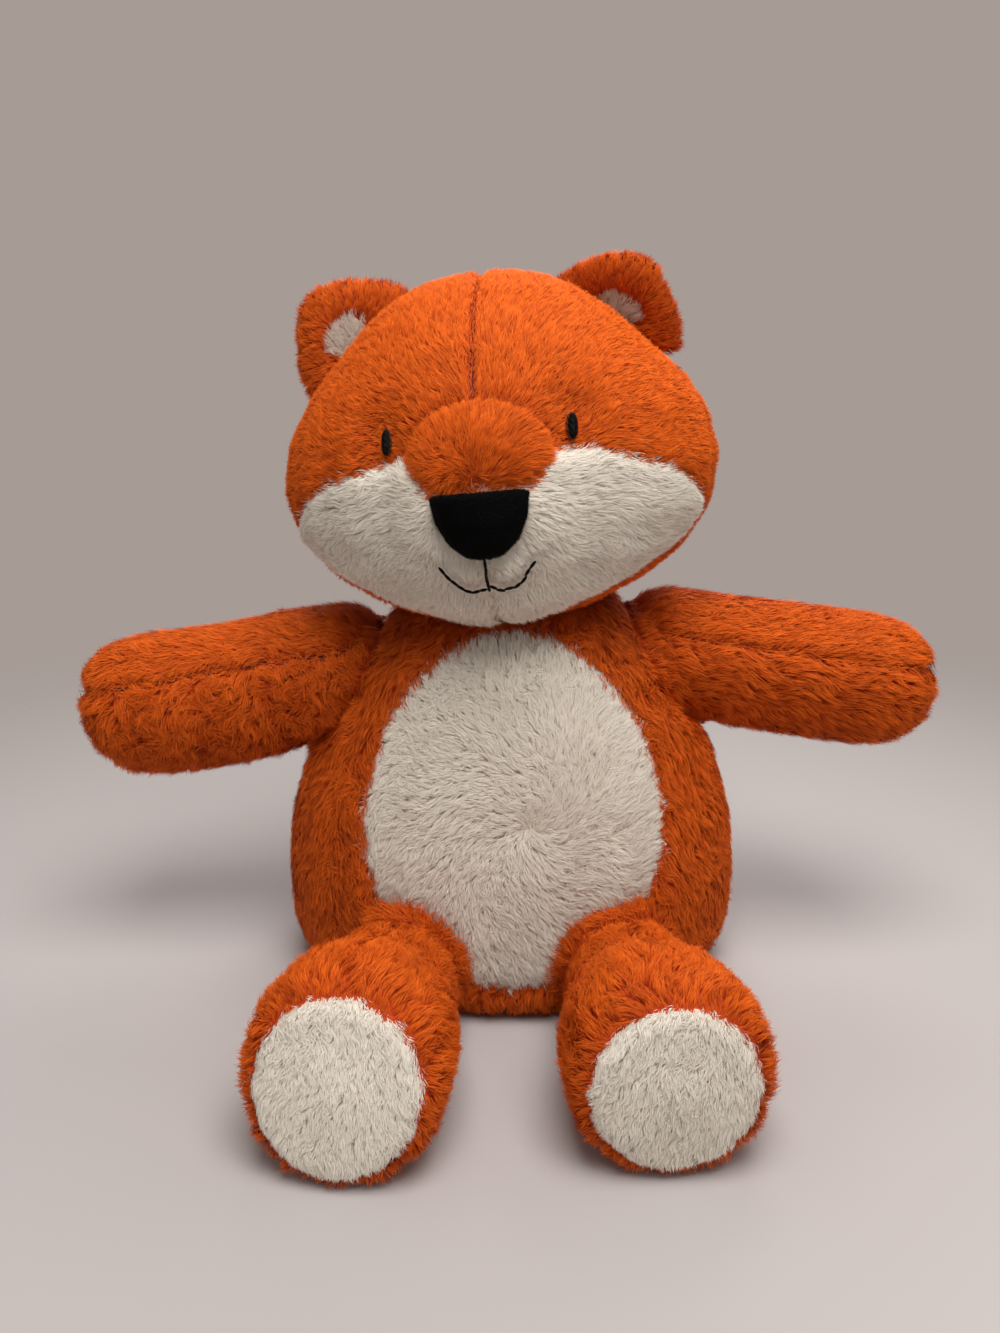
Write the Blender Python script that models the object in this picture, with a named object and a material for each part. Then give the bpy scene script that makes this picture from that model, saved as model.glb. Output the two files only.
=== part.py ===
"""A seated plush fox, as fabric panels sewn round their stuffing, with limbs that turn at their seams.

The fox faces -Y, its own left side is +X, and it sits on Z = 0. The origin is the middle of the flat seat.
Every size is in metres.
"""
import math

import bmesh
import bpy
from mathutils import Matrix, Vector

# Fabric and the gaps between pieces
FABRIC = 0.0020
SEAM_GAP = 0.0004
CUT_OVERRUN = 0.08
SHARPEST_CORNER_SHARE = 0.4

# Body: a pear with a flat seat and a round neck dome on top
BODY_HALF_WIDTH = 0.069
BODY_FRONT_DEPTH = 0.053
BODY_BACK_DEPTH = 0.050
NECK_PIVOT_HEIGHT = 0.085
NECK_PIVOT_BACK = 0.002
NECK_DOME_RADIUS = 0.044
# Each ring below the dome: height as a share of the pivot height, then shares of the width, front and back
BODY_RING_SHARES = (
    (0.00, 0.76, 0.74, 0.72),
    (0.035, 0.90, 0.88, 0.86),
    (0.10, 0.965, 0.95, 0.94),
    (0.20, 1.00, 0.99, 0.98),
    (0.36, 1.01, 1.00, 1.00),
    (0.56, 0.985, 1.00, 1.00),
    (0.78, 0.905, 0.96, 0.96),
    (0.97, 0.81, 0.89, 0.91),
    (1.14, 0.69, 0.80, 0.86),
)
DOME_RING_ANGLES = (32, 50, 68)
SIDE_SEAM_BACK = 0.004

# Belly: an egg-shaped white panel let into the front
BELLY_CENTRE_HEIGHT = 0.0615
BELLY_HALF_WIDTH = 0.0410
BELLY_HALF_HEIGHT = 0.0485
BELLY_TOP_NARROWING_SHARE = 0.12

# Seat bean pouch
POUCH_HALF_WIDTH = 0.040
POUCH_HALF_DEPTH = 0.032
POUCH_HALF_HEIGHT = 0.013
POUCH_CENTRE_HEIGHT = 0.011

# Head, in the frame of the neck pivot
HEAD_ROLL = math.radians(-5)
HEAD_YAW = math.radians(-6)
HEAD_SIDE = 0.0038
HEAD_FORWARD = 0.0115
HEAD_RISE = 0.075
HEAD_HALF_WIDTH = 0.0585
HEAD_HALF_DEPTH = 0.047
HEAD_HALF_HEIGHT = 0.0465
HEAD_BACK_SEAM = 0.004
# Each bulge of the head: azimuth, elevation, reach in azimuth, reach in elevation (degrees), then its sharpness
CHEEK_BULGE = (66, -18, 34, 24, 2)
CHEEK_RISE = 0.0054
JAW_BULGE = (0, -44, 52, 24, 2)
JAW_RISE = 0.0102
MUZZLE_BULGE = (0, -14, 21, 25, 4)
MUZZLE_RISE = 0.0065
# The temples fall in between each ear and its cheek, given in the same way
TEMPLE_HOLLOW = (78, 30, 36, 22, 2)
TEMPLE_FALL = 0.0042

# Seams of the face, as azimuth and elevation in degrees from the middle of the head; the other side mirrors them
WHITE_UPPER_SEAM = ((13, -11), (17, -7), (21.5, -2), (35, -3.5), (50, -7), (63, -12), (75, -18.6))
WHITE_LOWER_SEAM = ((70, -27), (62, -34), (49, -43), (35, -50), (18, -56), (0, -58))
MUZZLE_TOP_SEAM = ((21.5, -2), (19, 4), (14, 9), (7, 12), (0, 12.7))
FAN_CENTRE = (0, -30)
MUZZLE_CENTRE = (0, 0)

# Nose: the lower half of an egg-shaped pad
NOSE_TOP_DROP = 0.010
NOSE_HALF_WIDTH = 0.0127
NOSE_HALF_DEPTH = 0.0080
NOSE_HEIGHT = 0.0165
NOSE_SUNK = 0.0020

# Eyes: raised satin stitch
EYE_AZIMUTH = 28
EYE_ELEVATION = 4.3
EYE_HALF_WIDTH = 0.0014
EYE_HALF_HEIGHT = 0.0030
EYE_HALF_DEPTH = 0.0017

# Mouth: black thread laid on the white panels
THREAD_THICKNESS = 0.0010
MOUTH_TOP_ELEVATION = -27
MOUTH_MIDDLE_ELEVATION = -34
MOUTH_CORNER = (13, -28.5)
MOUTH_DIP_ELEVATION = 4.5
MOUTH_GAP_AZIMUTH = 1.3
MOUTH_STEPS = 7

# Ears: rounded triangles on a spindle-shaped root that lies in a groove of the head
EAR_AZIMUTH = 90
EAR_ELEVATION = {"left": 42.5, "right": 40.0}
EAR_SUNK = 0.0010
EAR_LEAN = {"left": math.radians(31), "right": math.radians(42)}
EAR_TILT = {"left": math.radians(28), "right": math.radians(8)}
EAR_HALF_WIDTH = {"left": 0.0206, "right": 0.0220}
EAR_HEIGHT = {"left": 0.0178, "right": 0.0200}
EAR_TAPER_SHARE = 0.38
EAR_HALF_THICKNESS = 0.0058
EAR_SWING = (math.radians(-20), math.radians(20))
EAR_POCKET_WIDTH_SHARE = 0.50
EAR_POCKET_HEIGHT_SHARE = 0.34
EAR_POCKET_RISE_SHARE = 0.20
EAR_POCKET_DEPTH_SHARE = 0.75
EAR_HOLLOW_SHARE = 0.55
EAR_SLACK_SHARE = 0.16

# Arms, along X of their own frame. The shoulders rise from the height of the neck pivot
SHOULDER_RISE = {"left": 0.0130, "right": 0.0080}
SHOULDER_STANDOFF = 0.0025
ARM_ROOT_RADIUS = 0.0188
ARM_LENGTH = 0.0800
ARM_HALF_HEIGHT = {"left": 0.0192, "right": 0.0210}
ARM_SEAM_RISE_SHARE = 0.38
ARM_HALF_DEPTH = 0.0185
ARM_DROOP = {"left": math.radians(8), "right": math.radians(10)}
ARM_SAG = {"left": 0.0, "right": 0.0022}
ARM_SWING = (math.radians(-45), math.radians(25))
# Each ring: place along the arm as a share of its length, then its size and its sag as shares
ARM_RING_SHARES = (
    (0.18, 0.96, 0.4),
    (0.34, 0.97, 0.8),
    (0.48, 0.99, 1.0),
    (0.75, 1.00, 0.6),
    (0.88, 0.91, 0.3),
    (0.96, 0.68, 0.1),
    (0.99, 0.42, 0.0),
)

# Legs, along -Y of their own frame
# The hip's place to the side, in the body's half width at the hip's height
HIP_SIDE_SHARE = 0.465
HIP_STANDOFF = 0.0040
LEG_SPLAY = {"left": math.radians(3.5), "right": math.radians(7.5)}
LEG_ROOT_RADIUS = 0.0150
LEG_RADIUS = 0.0170
FOOT_RADIUS = 0.0230
LEG_LENGTH = 0.0610
FLOOR_FLAT = 0.0005
LEG_SWING = (math.radians(-25), math.radians(30))
# Each ring: place along the leg, growth from leg to foot, and how full the ring is, all as shares
LEG_RING_SHARES = (
    (0.15, 0.00, 1.00),
    (0.34, 0.16, 1.00),
    (0.54, 0.74, 1.00),
    (0.72, 1.00, 1.00),
    (0.87, 1.00, 0.99),
    (0.96, 1.00, 0.93),
    (1.00, 1.00, 0.85),
)
SOLE_BULGE = 0.0022
SOLE_RADIUS = 0.0195
SOLE_TILT = {"left": math.radians(2), "right": math.radians(14)}

# Tail, along +Y of its own frame
TAIL_HEIGHT = 0.0175
TAIL_STANDOFF = 0.0040
TAIL_ROOT_RADIUS = 0.0100
TAIL_LENGTH = 0.0860
TAIL_RADIUS = 0.0165
TAIL_TIP_SHARE = 0.66
TAIL_WAG = (math.radians(-35), math.radians(35))
TAIL_RING_SHARES = ((0.14, 0.68), (0.32, 0.92), (0.55, 1.0), (0.72, 0.88), (0.86, 0.60), (0.95, 0.30))

# A socket follows the swing of its limb, with a little slack for its flat faces
SOCKET_SLACK_SHARE = 0.065
SOCKET_REACH_SHARE = 0.45

# Faces round and along the forms
BODY_SIDES = 22
HEAD_SIDES = 26
HEAD_RINGS = 15
CORE_SIDES = 14
CORE_RINGS = 9
LIMB_SIDES = 12
LIMB_CORE_SIDES = 10
SWING_SIDES = 8
BALL_RING_ANGLES = (-66, -38, -13)
SOCKET_SIDES = 14
SOCKET_RINGS = 8
OUTLINE_STEPS = 24
SMALL_SIDES = 12
SMALL_RINGS = 6

ORANGE = (0.80, 0.13, 0.012, 1.0)
WHITE = (0.80, 0.76, 0.68, 1.0)
BLACK = (0.012, 0.011, 0.011, 1.0)
FIBRE = (0.86, 0.86, 0.84, 1.0)
BEAN = (0.72, 0.70, 0.64, 1.0)


def clear_scene():
    for obj in list(bpy.data.objects):
        bpy.data.objects.remove(obj)


def fabric_material(name, colour, roughness):
    material = bpy.data.materials.new(name)
    material.use_nodes = True
    shader = material.node_tree.nodes["Principled BSDF"]
    shader.inputs["Base Color"].default_value = colour
    shader.inputs["Roughness"].default_value = roughness
    shader.inputs["Metallic"].default_value = 0.0
    return material


def make_object(name, bm, parent, material):
    """A closed bmesh as a named object under its joint's empty."""
    bmesh.ops.triangulate(bm, faces=bm.faces)
    bmesh.ops.recalc_face_normals(bm, faces=bm.faces)
    mesh = bpy.data.meshes.new(name)
    bm.to_mesh(mesh)
    bm.free()
    mesh.shade_smooth()
    obj = bpy.data.objects.new(name, mesh)
    bpy.context.scene.collection.objects.link(obj)
    obj.parent = parent
    if material:
        obj.data.materials.append(material)
    return obj


def make_cutter(name, bm, parent):
    """A helper solid that only cuts its neighbours."""
    obj = make_object("cut_" + name, bm, parent, None)
    obj.hide_render = True
    obj.display_type = "WIRE"
    return obj


def make_joint_frame(name, parent, location, rotation):
    """An empty on a joint's axis. It carries what moves with the joint."""
    frame = bpy.data.objects.new(name, None)
    bpy.context.scene.collection.objects.link(frame)
    frame.parent = parent
    frame.location = location
    frame.rotation_euler = rotation
    return frame


def cut(obj, others, operation="DIFFERENCE"):
    """Boolean cuts. The exact solver tears the thin curved panels at some seams, and the manifold one doesn't."""
    for other in others:
        modifier = obj.modifiers.new(operation.lower(), "BOOLEAN")
        modifier.solver = "MANIFOLD"
        modifier.operation = operation
        modifier.object = other


def fill_between(bm, lower, upper):
    for i in range(len(lower)):
        j = (i + 1) % len(lower)
        bm.faces.new((lower[i], lower[j], upper[j], upper[i]))


def close_with_point(bm, ring, point):
    tip = bm.verts.new(point)
    for i in range(len(ring)):
        bm.faces.new((ring[i], ring[(i + 1) % len(ring)], tip))


def loft(rings, first_tip=None, last_tip=None):
    """A closed form through rings of points. A tip closes an end to a point, and no tip closes it flat."""
    bm = bmesh.new()
    loops = [[bm.verts.new(p) for p in ring] for ring in rings]
    for lower, upper in zip(loops, loops[1:]):
        fill_between(bm, lower, upper)
    for loop, tip in ((loops[0], first_tip), (loops[-1], last_tip)):
        if tip is None:
            bm.faces.new(loop)
        else:
            close_with_point(bm, loop, tip)
    return bm


def ball(centre, radius, sides=SOCKET_SIDES, rings=SOCKET_RINGS):
    """A sphere whose faces lie outside the true radius, so that what turns inside it stays clear."""
    bm = bmesh.new()
    outside = radius / math.cos(math.pi / sides)
    bmesh.ops.create_uvsphere(bm, u_segments=sides, v_segments=rings, radius=outside)
    bmesh.ops.translate(bm, verts=bm.verts, vec=centre)
    return bm


def ellipsoid(centre, radii, sides=SOCKET_SIDES, rings=SOCKET_RINGS):
    bm = bmesh.new()
    bmesh.ops.create_uvsphere(bm, u_segments=sides, v_segments=rings, radius=1)
    bmesh.ops.scale(bm, verts=bm.verts, vec=radii)
    bmesh.ops.translate(bm, verts=bm.verts, vec=centre)
    return bm


def slab(low, high):
    """A box between two corners."""
    bm = bmesh.new()
    bmesh.ops.create_cube(bm, size=1)
    size = [b - a for a, b in zip(low, high)]
    middle = [(a + b) / 2 for a, b in zip(low, high)]
    bmesh.ops.scale(bm, verts=bm.verts, vec=size)
    bmesh.ops.translate(bm, verts=bm.verts, vec=middle)
    return bm


def half_space(axis, limit, above):
    """A large box that fills one side of a plane."""
    low, high = [-CUT_OVERRUN * 2] * 3, [CUT_OVERRUN * 2] * 3
    if above:
        low[axis] = limit
    else:
        high[axis] = limit
    return slab(low, high)


def body_rings():
    """(height, half width, front depth, back depth) up the body, with the neck dome's rings last."""
    rings = [
        (h * NECK_PIVOT_HEIGHT, w * BODY_HALF_WIDTH, f * BODY_FRONT_DEPTH, b * BODY_BACK_DEPTH)
        for h, w, f, b in BODY_RING_SHARES
    ]
    for angle in map(math.radians, DOME_RING_ANGLES):
        radius = NECK_DOME_RADIUS * math.cos(angle)
        height = NECK_PIVOT_HEIGHT + NECK_DOME_RADIUS * math.sin(angle)
        rings.append((height, radius, radius - NECK_PIVOT_BACK, radius + NECK_PIVOT_BACK))
    return rings


def body_size_at(height):
    """Half width, front depth and back depth of the body at a height."""
    rings = body_rings()
    for lower, upper in zip(rings, rings[1:]):
        if lower[0] <= height <= upper[0]:
            t = (height - lower[0]) / (upper[0] - lower[0])
            return [a + (b - a) * t for a, b in zip(lower[1:], upper[1:])]
    return rings[-1][1:]


def body_form(inset, sides):
    """The pear, made smaller all round by inset."""
    top = NECK_PIVOT_HEIGHT + NECK_DOME_RADIUS - inset
    rings = []
    for height, width, front, back in body_rings():
        level = min(max(height, inset), top)
        points = []
        for i in range(sides):
            angle = 2 * math.pi * i / sides
            depth = front if math.sin(angle) < 0 else back
            points.append(((width - inset) * math.cos(angle), (depth - inset) * math.sin(angle), level))
        if not rings or level > rings[-1][0][2] and level < top:
            rings.append(points)
    return loft(rings, last_tip=(0, NECK_PIVOT_BACK, top))


def grown_outline(points, grow):
    """A closed outline in a plane, with every side moved outwards by grow."""
    count = len(points)
    area = sum(points[i - 1][0] * points[i][1] - points[i][0] * points[i - 1][1] for i in range(count))
    turn = 1 if area > 0 else -1
    moved = []
    for i, (x, y) in enumerate(points):
        before, after = points[i - 1], points[(i + 1) % count]
        first = Vector((y - before[1], before[0] - x)).normalized() * turn
        second = Vector((after[1] - y, x - after[0])).normalized() * turn
        middle = (first + second).normalized()
        step = grow / max(middle.dot(first), SHARPEST_CORNER_SHARE)
        moved.append((x + middle.x * step, y + middle.y * step))
    return moved


def belly_outline():
    """The egg outline of the belly in X and Z."""
    points = []
    for i in range(OUTLINE_STEPS):
        t = 2 * math.pi * i / OUTLINE_STEPS
        narrowing = 1 - BELLY_TOP_NARROWING_SHARE * math.cos(t)
        x = BELLY_HALF_WIDTH * narrowing * math.sin(t)
        z = BELLY_CENTRE_HEIGHT + BELLY_HALF_HEIGHT * math.cos(t)
        points.append((x, z))
    return points


def belly_prism(grow):
    """The egg outline pushed through the front of the body."""
    outline = grown_outline(belly_outline(), grow)
    return loft([[(x, y, z) for x, z in outline] for y in (-CUT_OVERRUN, SIDE_SEAM_BACK - FABRIC)])


def direction(azimuth, elevation):
    """Unit vector from the middle of the head. Azimuth 0 is the front and turns towards +X."""
    a, e = math.radians(azimuth), math.radians(elevation)
    return Vector((math.sin(a) * math.cos(e), -math.cos(a) * math.cos(e), math.sin(e)))


def bulge(azimuth, elevation, shape, rise):
    centre_a, centre_e, reach_a, reach_e, sharpness = shape
    distance = math.hypot((azimuth - centre_a) / reach_a, (elevation - centre_e) / reach_e)
    return rise * math.exp(-(distance ** sharpness))


def head_radius(d):
    """Distance from the middle of the head to its surface along the unit vector d."""
    azimuth = math.degrees(math.atan2(d.x, -d.y))
    elevation = math.degrees(math.asin(max(-1, min(1, d.z))))
    scaled = Vector((d.x / HEAD_HALF_WIDTH, d.y / HEAD_HALF_DEPTH, d.z / HEAD_HALF_HEIGHT))
    radius = 1 / scaled.length
    radius += bulge(abs(azimuth), elevation, CHEEK_BULGE, CHEEK_RISE)
    radius += bulge(azimuth, elevation, JAW_BULGE, JAW_RISE)
    radius += bulge(azimuth, elevation, MUZZLE_BULGE, MUZZLE_RISE)
    radius -= bulge(abs(azimuth), elevation, TEMPLE_HOLLOW, TEMPLE_FALL)
    return radius


def head_middle():
    return Vector((HEAD_SIDE, -HEAD_FORWARD, HEAD_RISE))


def head_point(azimuth, elevation, lift=0.0):
    """A point on the head's surface, or lifted off it, in the frame of the neck pivot."""
    d = direction(azimuth, elevation)
    return head_middle() + d * (head_radius(d) + lift)


def head_form(inset, sides, rings):
    """The head as rings from the chin to the crown, made smaller by inset."""
    loops = []
    for r in range(1, rings):
        elevation = -90 + 180 * r / rings
        loops.append([head_point(360 * i / sides, elevation, -inset) for i in range(sides)])
    return loft(loops, head_point(0, -90, -inset), head_point(0, 90, -inset))


def both_sides(half):
    """A seam given for +X, continued round the other side in reverse."""
    return list(half) + [(-a, e) for a, e in reversed(half) if a]


def angle_of(length):
    """A small length on the head's surface, in degrees as seen from the middle of the head."""
    return math.degrees(length / HEAD_HALF_WIDTH)


def radial_cutter(seam, centre, grow):
    """A cone from the middle of the head out through a closed seam, with the seam moved out by grow."""
    reach = CUT_OVERRUN * 2
    bm = bmesh.new()
    apex = bm.verts.new(head_middle())
    cap = bm.verts.new(head_middle() + direction(*centre) * reach)
    outline = grown_outline(seam, angle_of(grow))
    loop = [bm.verts.new(head_middle() + direction(a, e) * reach) for a, e in outline]
    for i in range(len(loop)):
        j = (i + 1) % len(loop)
        bm.faces.new((loop[i], loop[j], cap))
        bm.faces.new((loop[j], loop[i], apex))
    return bm


def radial_strip(path, half_width):
    """A thin wall that stands on a path of azimuths and elevations and reaches through the head's surface."""
    sides = []
    for i, (a, e) in enumerate(path):
        before, after = path[max(i - 1, 0)], path[min(i + 1, len(path) - 1)]
        across = Vector((before[1] - after[1], after[0] - before[0])).normalized() * angle_of(half_width)
        sides.append(((a + across.x, e + across.y), (a - across.x, e - across.y)))
    inner, outer = HEAD_HALF_DEPTH / 2, HEAD_HALF_WIDTH * 2
    rings = []
    for one, other in sides:
        corners = [(one, inner), (one, outer), (other, outer), (other, inner)]
        rings.append([head_middle() + direction(*place) * reach for place, reach in corners])
    return loft(rings)


def oval_ring(centre, across, up, half_width, half_height, sides):
    return [
        centre
        + across * (half_width * math.cos(2 * math.pi * i / sides))
        + up * (half_height * math.sin(2 * math.pi * i / sides))
        for i in range(sides)
    ]


def limb_form(along, across, up, stations, tip, root_radius, sides):
    """A limb from a round root at its own origin, through (distance, half width, half height, lift) stations."""
    rings = []
    for angle in map(math.radians, BALL_RING_ANGLES):
        radius = root_radius * math.cos(angle)
        rings.append(oval_ring(along * (root_radius * math.sin(angle)), across, up, radius, radius, sides))
    for distance, half_width, half_height, lift in stations:
        rings.append(oval_ring(along * distance + up * lift, across, up, half_width, half_height, sides))
    return loft(rings, -along * root_radius, tip)


X, Y, Z = Vector((1, 0, 0)), Vector((0, 1, 0)), Vector((0, 0, 1))


def arm_form(side, inset, sides, reach_share=1):
    stations = []
    for place, size, sag in ARM_RING_SHARES:
        half_depth, half_height = size * ARM_HALF_DEPTH - inset, size * ARM_HALF_HEIGHT[side] - inset
        if half_depth > inset and place <= reach_share and place * ARM_LENGTH < ARM_LENGTH - inset:
            stations.append((place * ARM_LENGTH, half_depth, half_height, -sag * ARM_SAG[side]))
    outward = X if side == "left" else -X
    tip = outward * (ARM_LENGTH * reach_share - inset)
    return limb_form(outward, Y, Z, stations, tip, ARM_ROOT_RADIUS - inset, sides)


def leg_radius_at(growth):
    return LEG_RADIUS + (FOOT_RADIUS - LEG_RADIUS) * growth


def leg_form(tilt, inset, sides, reach_share=1):
    """The leg and foot. Its underside runs level, and the sole leans back by tilt."""
    foot_lift = FOOT_RADIUS - LEG_RADIUS
    stations = []
    for place, growth, fullness in LEG_RING_SHARES:
        if place <= reach_share:
            radius = leg_radius_at(growth)
            size = radius * fullness - inset
            distance = min(place * LEG_LENGTH, LEG_LENGTH - inset)
            stations.append((distance, size, size, radius - LEG_RADIUS))
    tip = -Y * (LEG_LENGTH * reach_share + SOLE_BULGE - inset) + Z * foot_lift * (reach_share == 1)
    bm = limb_form(-Y, X, Z, stations, tip, LEG_ROOT_RADIUS - inset, sides)
    for vert in bm.verts:
        share = max(0, -vert.co.y / LEG_LENGTH)
        vert.co.y += math.tan(tilt) * (vert.co.z - foot_lift) * share ** 2
    return bm


def tail_form(inset, sides, reach_share=1):
    stations = []
    for place, size in TAIL_RING_SHARES:
        radius = size * TAIL_RADIUS - inset
        if radius > inset and place <= reach_share:
            stations.append((place * TAIL_LENGTH, radius, radius, 0))
    tip = Y * (TAIL_LENGTH * reach_share - inset)
    return limb_form(Y, X, Z, stations, tip, TAIL_ROOT_RADIUS - inset, sides)


def swing_socket(form, axis, limits):
    """The room that a limb's root needs through its whole swing, as one convex solid."""
    bm = bmesh.new()
    for angle in limits:
        turn = Matrix.Rotation(angle, 3, axis)
        for vert in form.verts:
            bm.verts.new(turn @ vert.co)
    form.free()
    bmesh.ops.remove_doubles(bm, verts=bm.verts, dist=SEAM_GAP)
    hull = bmesh.ops.convex_hull(bm, input=bm.verts)
    inside = [item for item in hull["geom_interior"] + hull["geom_unused"] if isinstance(item, bmesh.types.BMVert)]
    bmesh.ops.delete(bm, geom=list(set(inside)), context="VERTS")
    return bm


def socket_grow(root_radius):
    """A negative inset for a limb's root, so that its flat-sided socket stays clear of it."""
    return -(SEAM_GAP + root_radius * SOCKET_SLACK_SHARE)


def ear_form(side, bm, grow=0):
    """A unit sphere made into the ear: a tall half disc above its hinge line and a round spindle below."""
    for vert in bm.verts:
        rise = max(vert.co.z, 0)
        vert.co.x *= (EAR_HALF_WIDTH[side] + grow) * (1 - EAR_TAPER_SHARE * rise)
        vert.co.y *= EAR_HALF_THICKNESS + grow
        vert.co.z *= grow + (EAR_HEIGHT[side] if rise else EAR_HALF_THICKNESS)
    return bm


def ear_root(side):
    """The lower part of the ear, as far as it turns within the head."""
    bm = ear_form(side, unit_ball(SMALL_SIDES, SMALL_RINGS), EAR_HALF_THICKNESS * EAR_SLACK_SHARE)
    for vert in bm.verts:
        vert.co.z = min(vert.co.z, EAR_HEIGHT[side] * SOCKET_REACH_SHARE)
    return bm


def unit_ball(sides, rings):
    return ellipsoid((0, 0, 0), (1, 1, 1), sides, rings)


def panel(name, form, parent, material, keep=(), remove=()):
    """A piece of a form: what lies in every keep solid and outside every remove solid."""
    obj = make_object(name, form, parent, material)
    cut(obj, keep, "INTERSECT")
    cut(obj, remove)
    return obj


def make_body(materials, sockets):
    core = make_cutter("body_core", body_form(FABRIC, CORE_SIDES), None)
    belly = make_cutter("belly", belly_prism(0), None)
    belly_hole = make_cutter("belly_hole", belly_prism(SEAM_GAP), None)
    front = make_cutter("body_front", half_space(1, SIDE_SEAM_BACK, False), None)
    back = make_cutter("body_back", half_space(1, SIDE_SEAM_BACK + SEAM_GAP, True), None)
    left = make_cutter("body_left", half_space(0, SEAM_GAP / 2, True), None)
    right = make_cutter("body_right", half_space(0, -SEAM_GAP / 2, False), None)
    above_seat = make_cutter("above_seat", half_space(2, FABRIC + SEAM_GAP, True), None)

    orange, white = materials["orange"], materials["white"]
    shell = [core, *sockets]
    panel("body_front_panel", body_form(0, BODY_SIDES), None, orange, [front], [belly_hole, *shell])
    panel("belly_panel", body_form(0, BODY_SIDES), None, white, [belly], shell)
    panel("body_back_left_panel", body_form(0, BODY_SIDES), None, orange, [back, left], shell)
    panel("body_back_right_panel", body_form(0, BODY_SIDES), None, orange, [back, right], shell)

    centre = (0, 0, POUCH_CENTRE_HEIGHT)
    pouch = (POUCH_HALF_WIDTH, POUCH_HALF_DEPTH, POUCH_HALF_HEIGHT)
    room = [size + SEAM_GAP for size in pouch]
    pouch_room = make_cutter("pouch_room", ellipsoid(centre, room), None)
    inner = body_form(FABRIC + SEAM_GAP, CORE_SIDES)
    panel("body_stuffing", inner, None, materials["fibre"], [], [pouch_room, *sockets])
    panel("seat_bean_pouch", ellipsoid(centre, pouch), None, materials["bean"], [above_seat])


def make_head(materials, neck):
    """The head's panels, face and stuffing, all carried by the neck's frame."""
    white_seam = both_sides(WHITE_UPPER_SEAM + WHITE_LOWER_SEAM)
    muzzle_seam = both_sides(WHITE_UPPER_SEAM[:2] + MUZZLE_TOP_SEAM)
    core = make_cutter("head_core", head_form(FABRIC, CORE_SIDES, CORE_RINGS), neck)
    collar = make_cutter("head_collar", ball((0, 0, 0), NECK_DOME_RADIUS + SEAM_GAP), neck)
    white_area = make_cutter("white_area", radial_cutter(white_seam, FAN_CENTRE, 0), neck)
    white_hole = make_cutter("white_hole", radial_cutter(white_seam, FAN_CENTRE, SEAM_GAP), neck)
    muzzle_area = make_cutter("muzzle_area", radial_cutter(muzzle_seam, MUZZLE_CENTRE, 0), neck)
    muzzle_hole = make_cutter("muzzle_hole", radial_cutter(muzzle_seam, MUZZLE_CENTRE, SEAM_GAP), neck)
    seam = HEAD_BACK_SEAM - HEAD_FORWARD
    front = make_cutter("head_front", half_space(1, seam, False), neck)
    back = make_cutter("head_back", half_space(1, seam + SEAM_GAP, True), neck)
    half = {
        "left": make_cutter("head_left", half_space(0, HEAD_SIDE + SEAM_GAP / 2, True), neck),
        "right": make_cutter("head_right", half_space(0, HEAD_SIDE - SEAM_GAP / 2, False), neck),
    }
    ears = {side: make_ear(side, materials, neck) for side in ("left", "right")}

    orange, white = materials["orange"], materials["white"]
    for side in ("left", "right"):
        inside = [core, collar, ears[side]]
        outer = head_form(0, HEAD_SIDES, HEAD_RINGS)
        panel("crown_%s_panel" % side, outer, neck, orange, [front, half[side]], [white_hole, muzzle_hole, *inside])
        outer = head_form(0, HEAD_SIDES, HEAD_RINGS)
        panel("cheek_%s_panel" % side, outer, neck, white, [white_area, half[side]], [core, collar])
        outer = head_form(0, HEAD_SIDES, HEAD_RINGS)
        panel("head_back_%s_panel" % side, outer, neck, orange, [back, half[side]], inside)
    outer = head_form(0, HEAD_SIDES, HEAD_RINGS)
    panel("muzzle_top_panel", outer, neck, orange, [muzzle_area], [white_hole, core])
    inner = head_form(FABRIC + SEAM_GAP, CORE_SIDES, CORE_RINGS)
    panel("head_stuffing", inner, neck, materials["fibre"], [], [collar, *ears.values()])
    make_face(materials, neck)


def make_face(materials, neck):
    skin = make_cutter("head_skin", head_form(-SEAM_GAP, HEAD_SIDES, HEAD_RINGS), neck)
    nose_top = HEAD_RISE - NOSE_TOP_DROP
    above_nose = make_cutter("above_nose", half_space(2, nose_top, True), neck)
    elevation = -math.degrees(math.asin(NOSE_TOP_DROP / head_radius(direction(0, 0))))
    centre = head_point(0, elevation) + Y * NOSE_SUNK
    centre.z = nose_top
    nose = ellipsoid(centre, (NOSE_HALF_WIDTH, NOSE_HALF_DEPTH, NOSE_HEIGHT), SOCKET_SIDES, SOCKET_RINGS)
    panel("nose", nose, neck, materials["velour"], [], [above_nose, skin])

    for side, sign in (("left", 1), ("right", -1)):
        outward = direction(sign * EYE_AZIMUTH, EYE_ELEVATION)
        across = outward.cross(Z).normalized()
        turn = Matrix((across, outward, across.cross(outward))).transposed()
        eye = ellipsoid((0, 0, 0), (EYE_HALF_WIDTH, EYE_HALF_DEPTH, EYE_HALF_HEIGHT), SMALL_SIDES, SMALL_RINGS)
        bmesh.ops.transform(eye, matrix=turn.to_4x4(), verts=eye.verts)
        bmesh.ops.translate(eye, verts=eye.verts, vec=head_point(sign * EYE_AZIMUTH, EYE_ELEVATION))
        panel("eye_" + side, eye, neck, materials["thread"], [], [skin])

    middle = [(0, MOUTH_TOP_ELEVATION), (0, MOUTH_MIDDLE_ELEVATION)]
    make_stitch("mouth_center_stitch", middle, skin, materials, neck)
    for side, sign in (("left", 1), ("right", -1)):
        make_stitch("mouth_%s_stitch" % side, mouth_curve(sign), skin, materials, neck)


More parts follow.
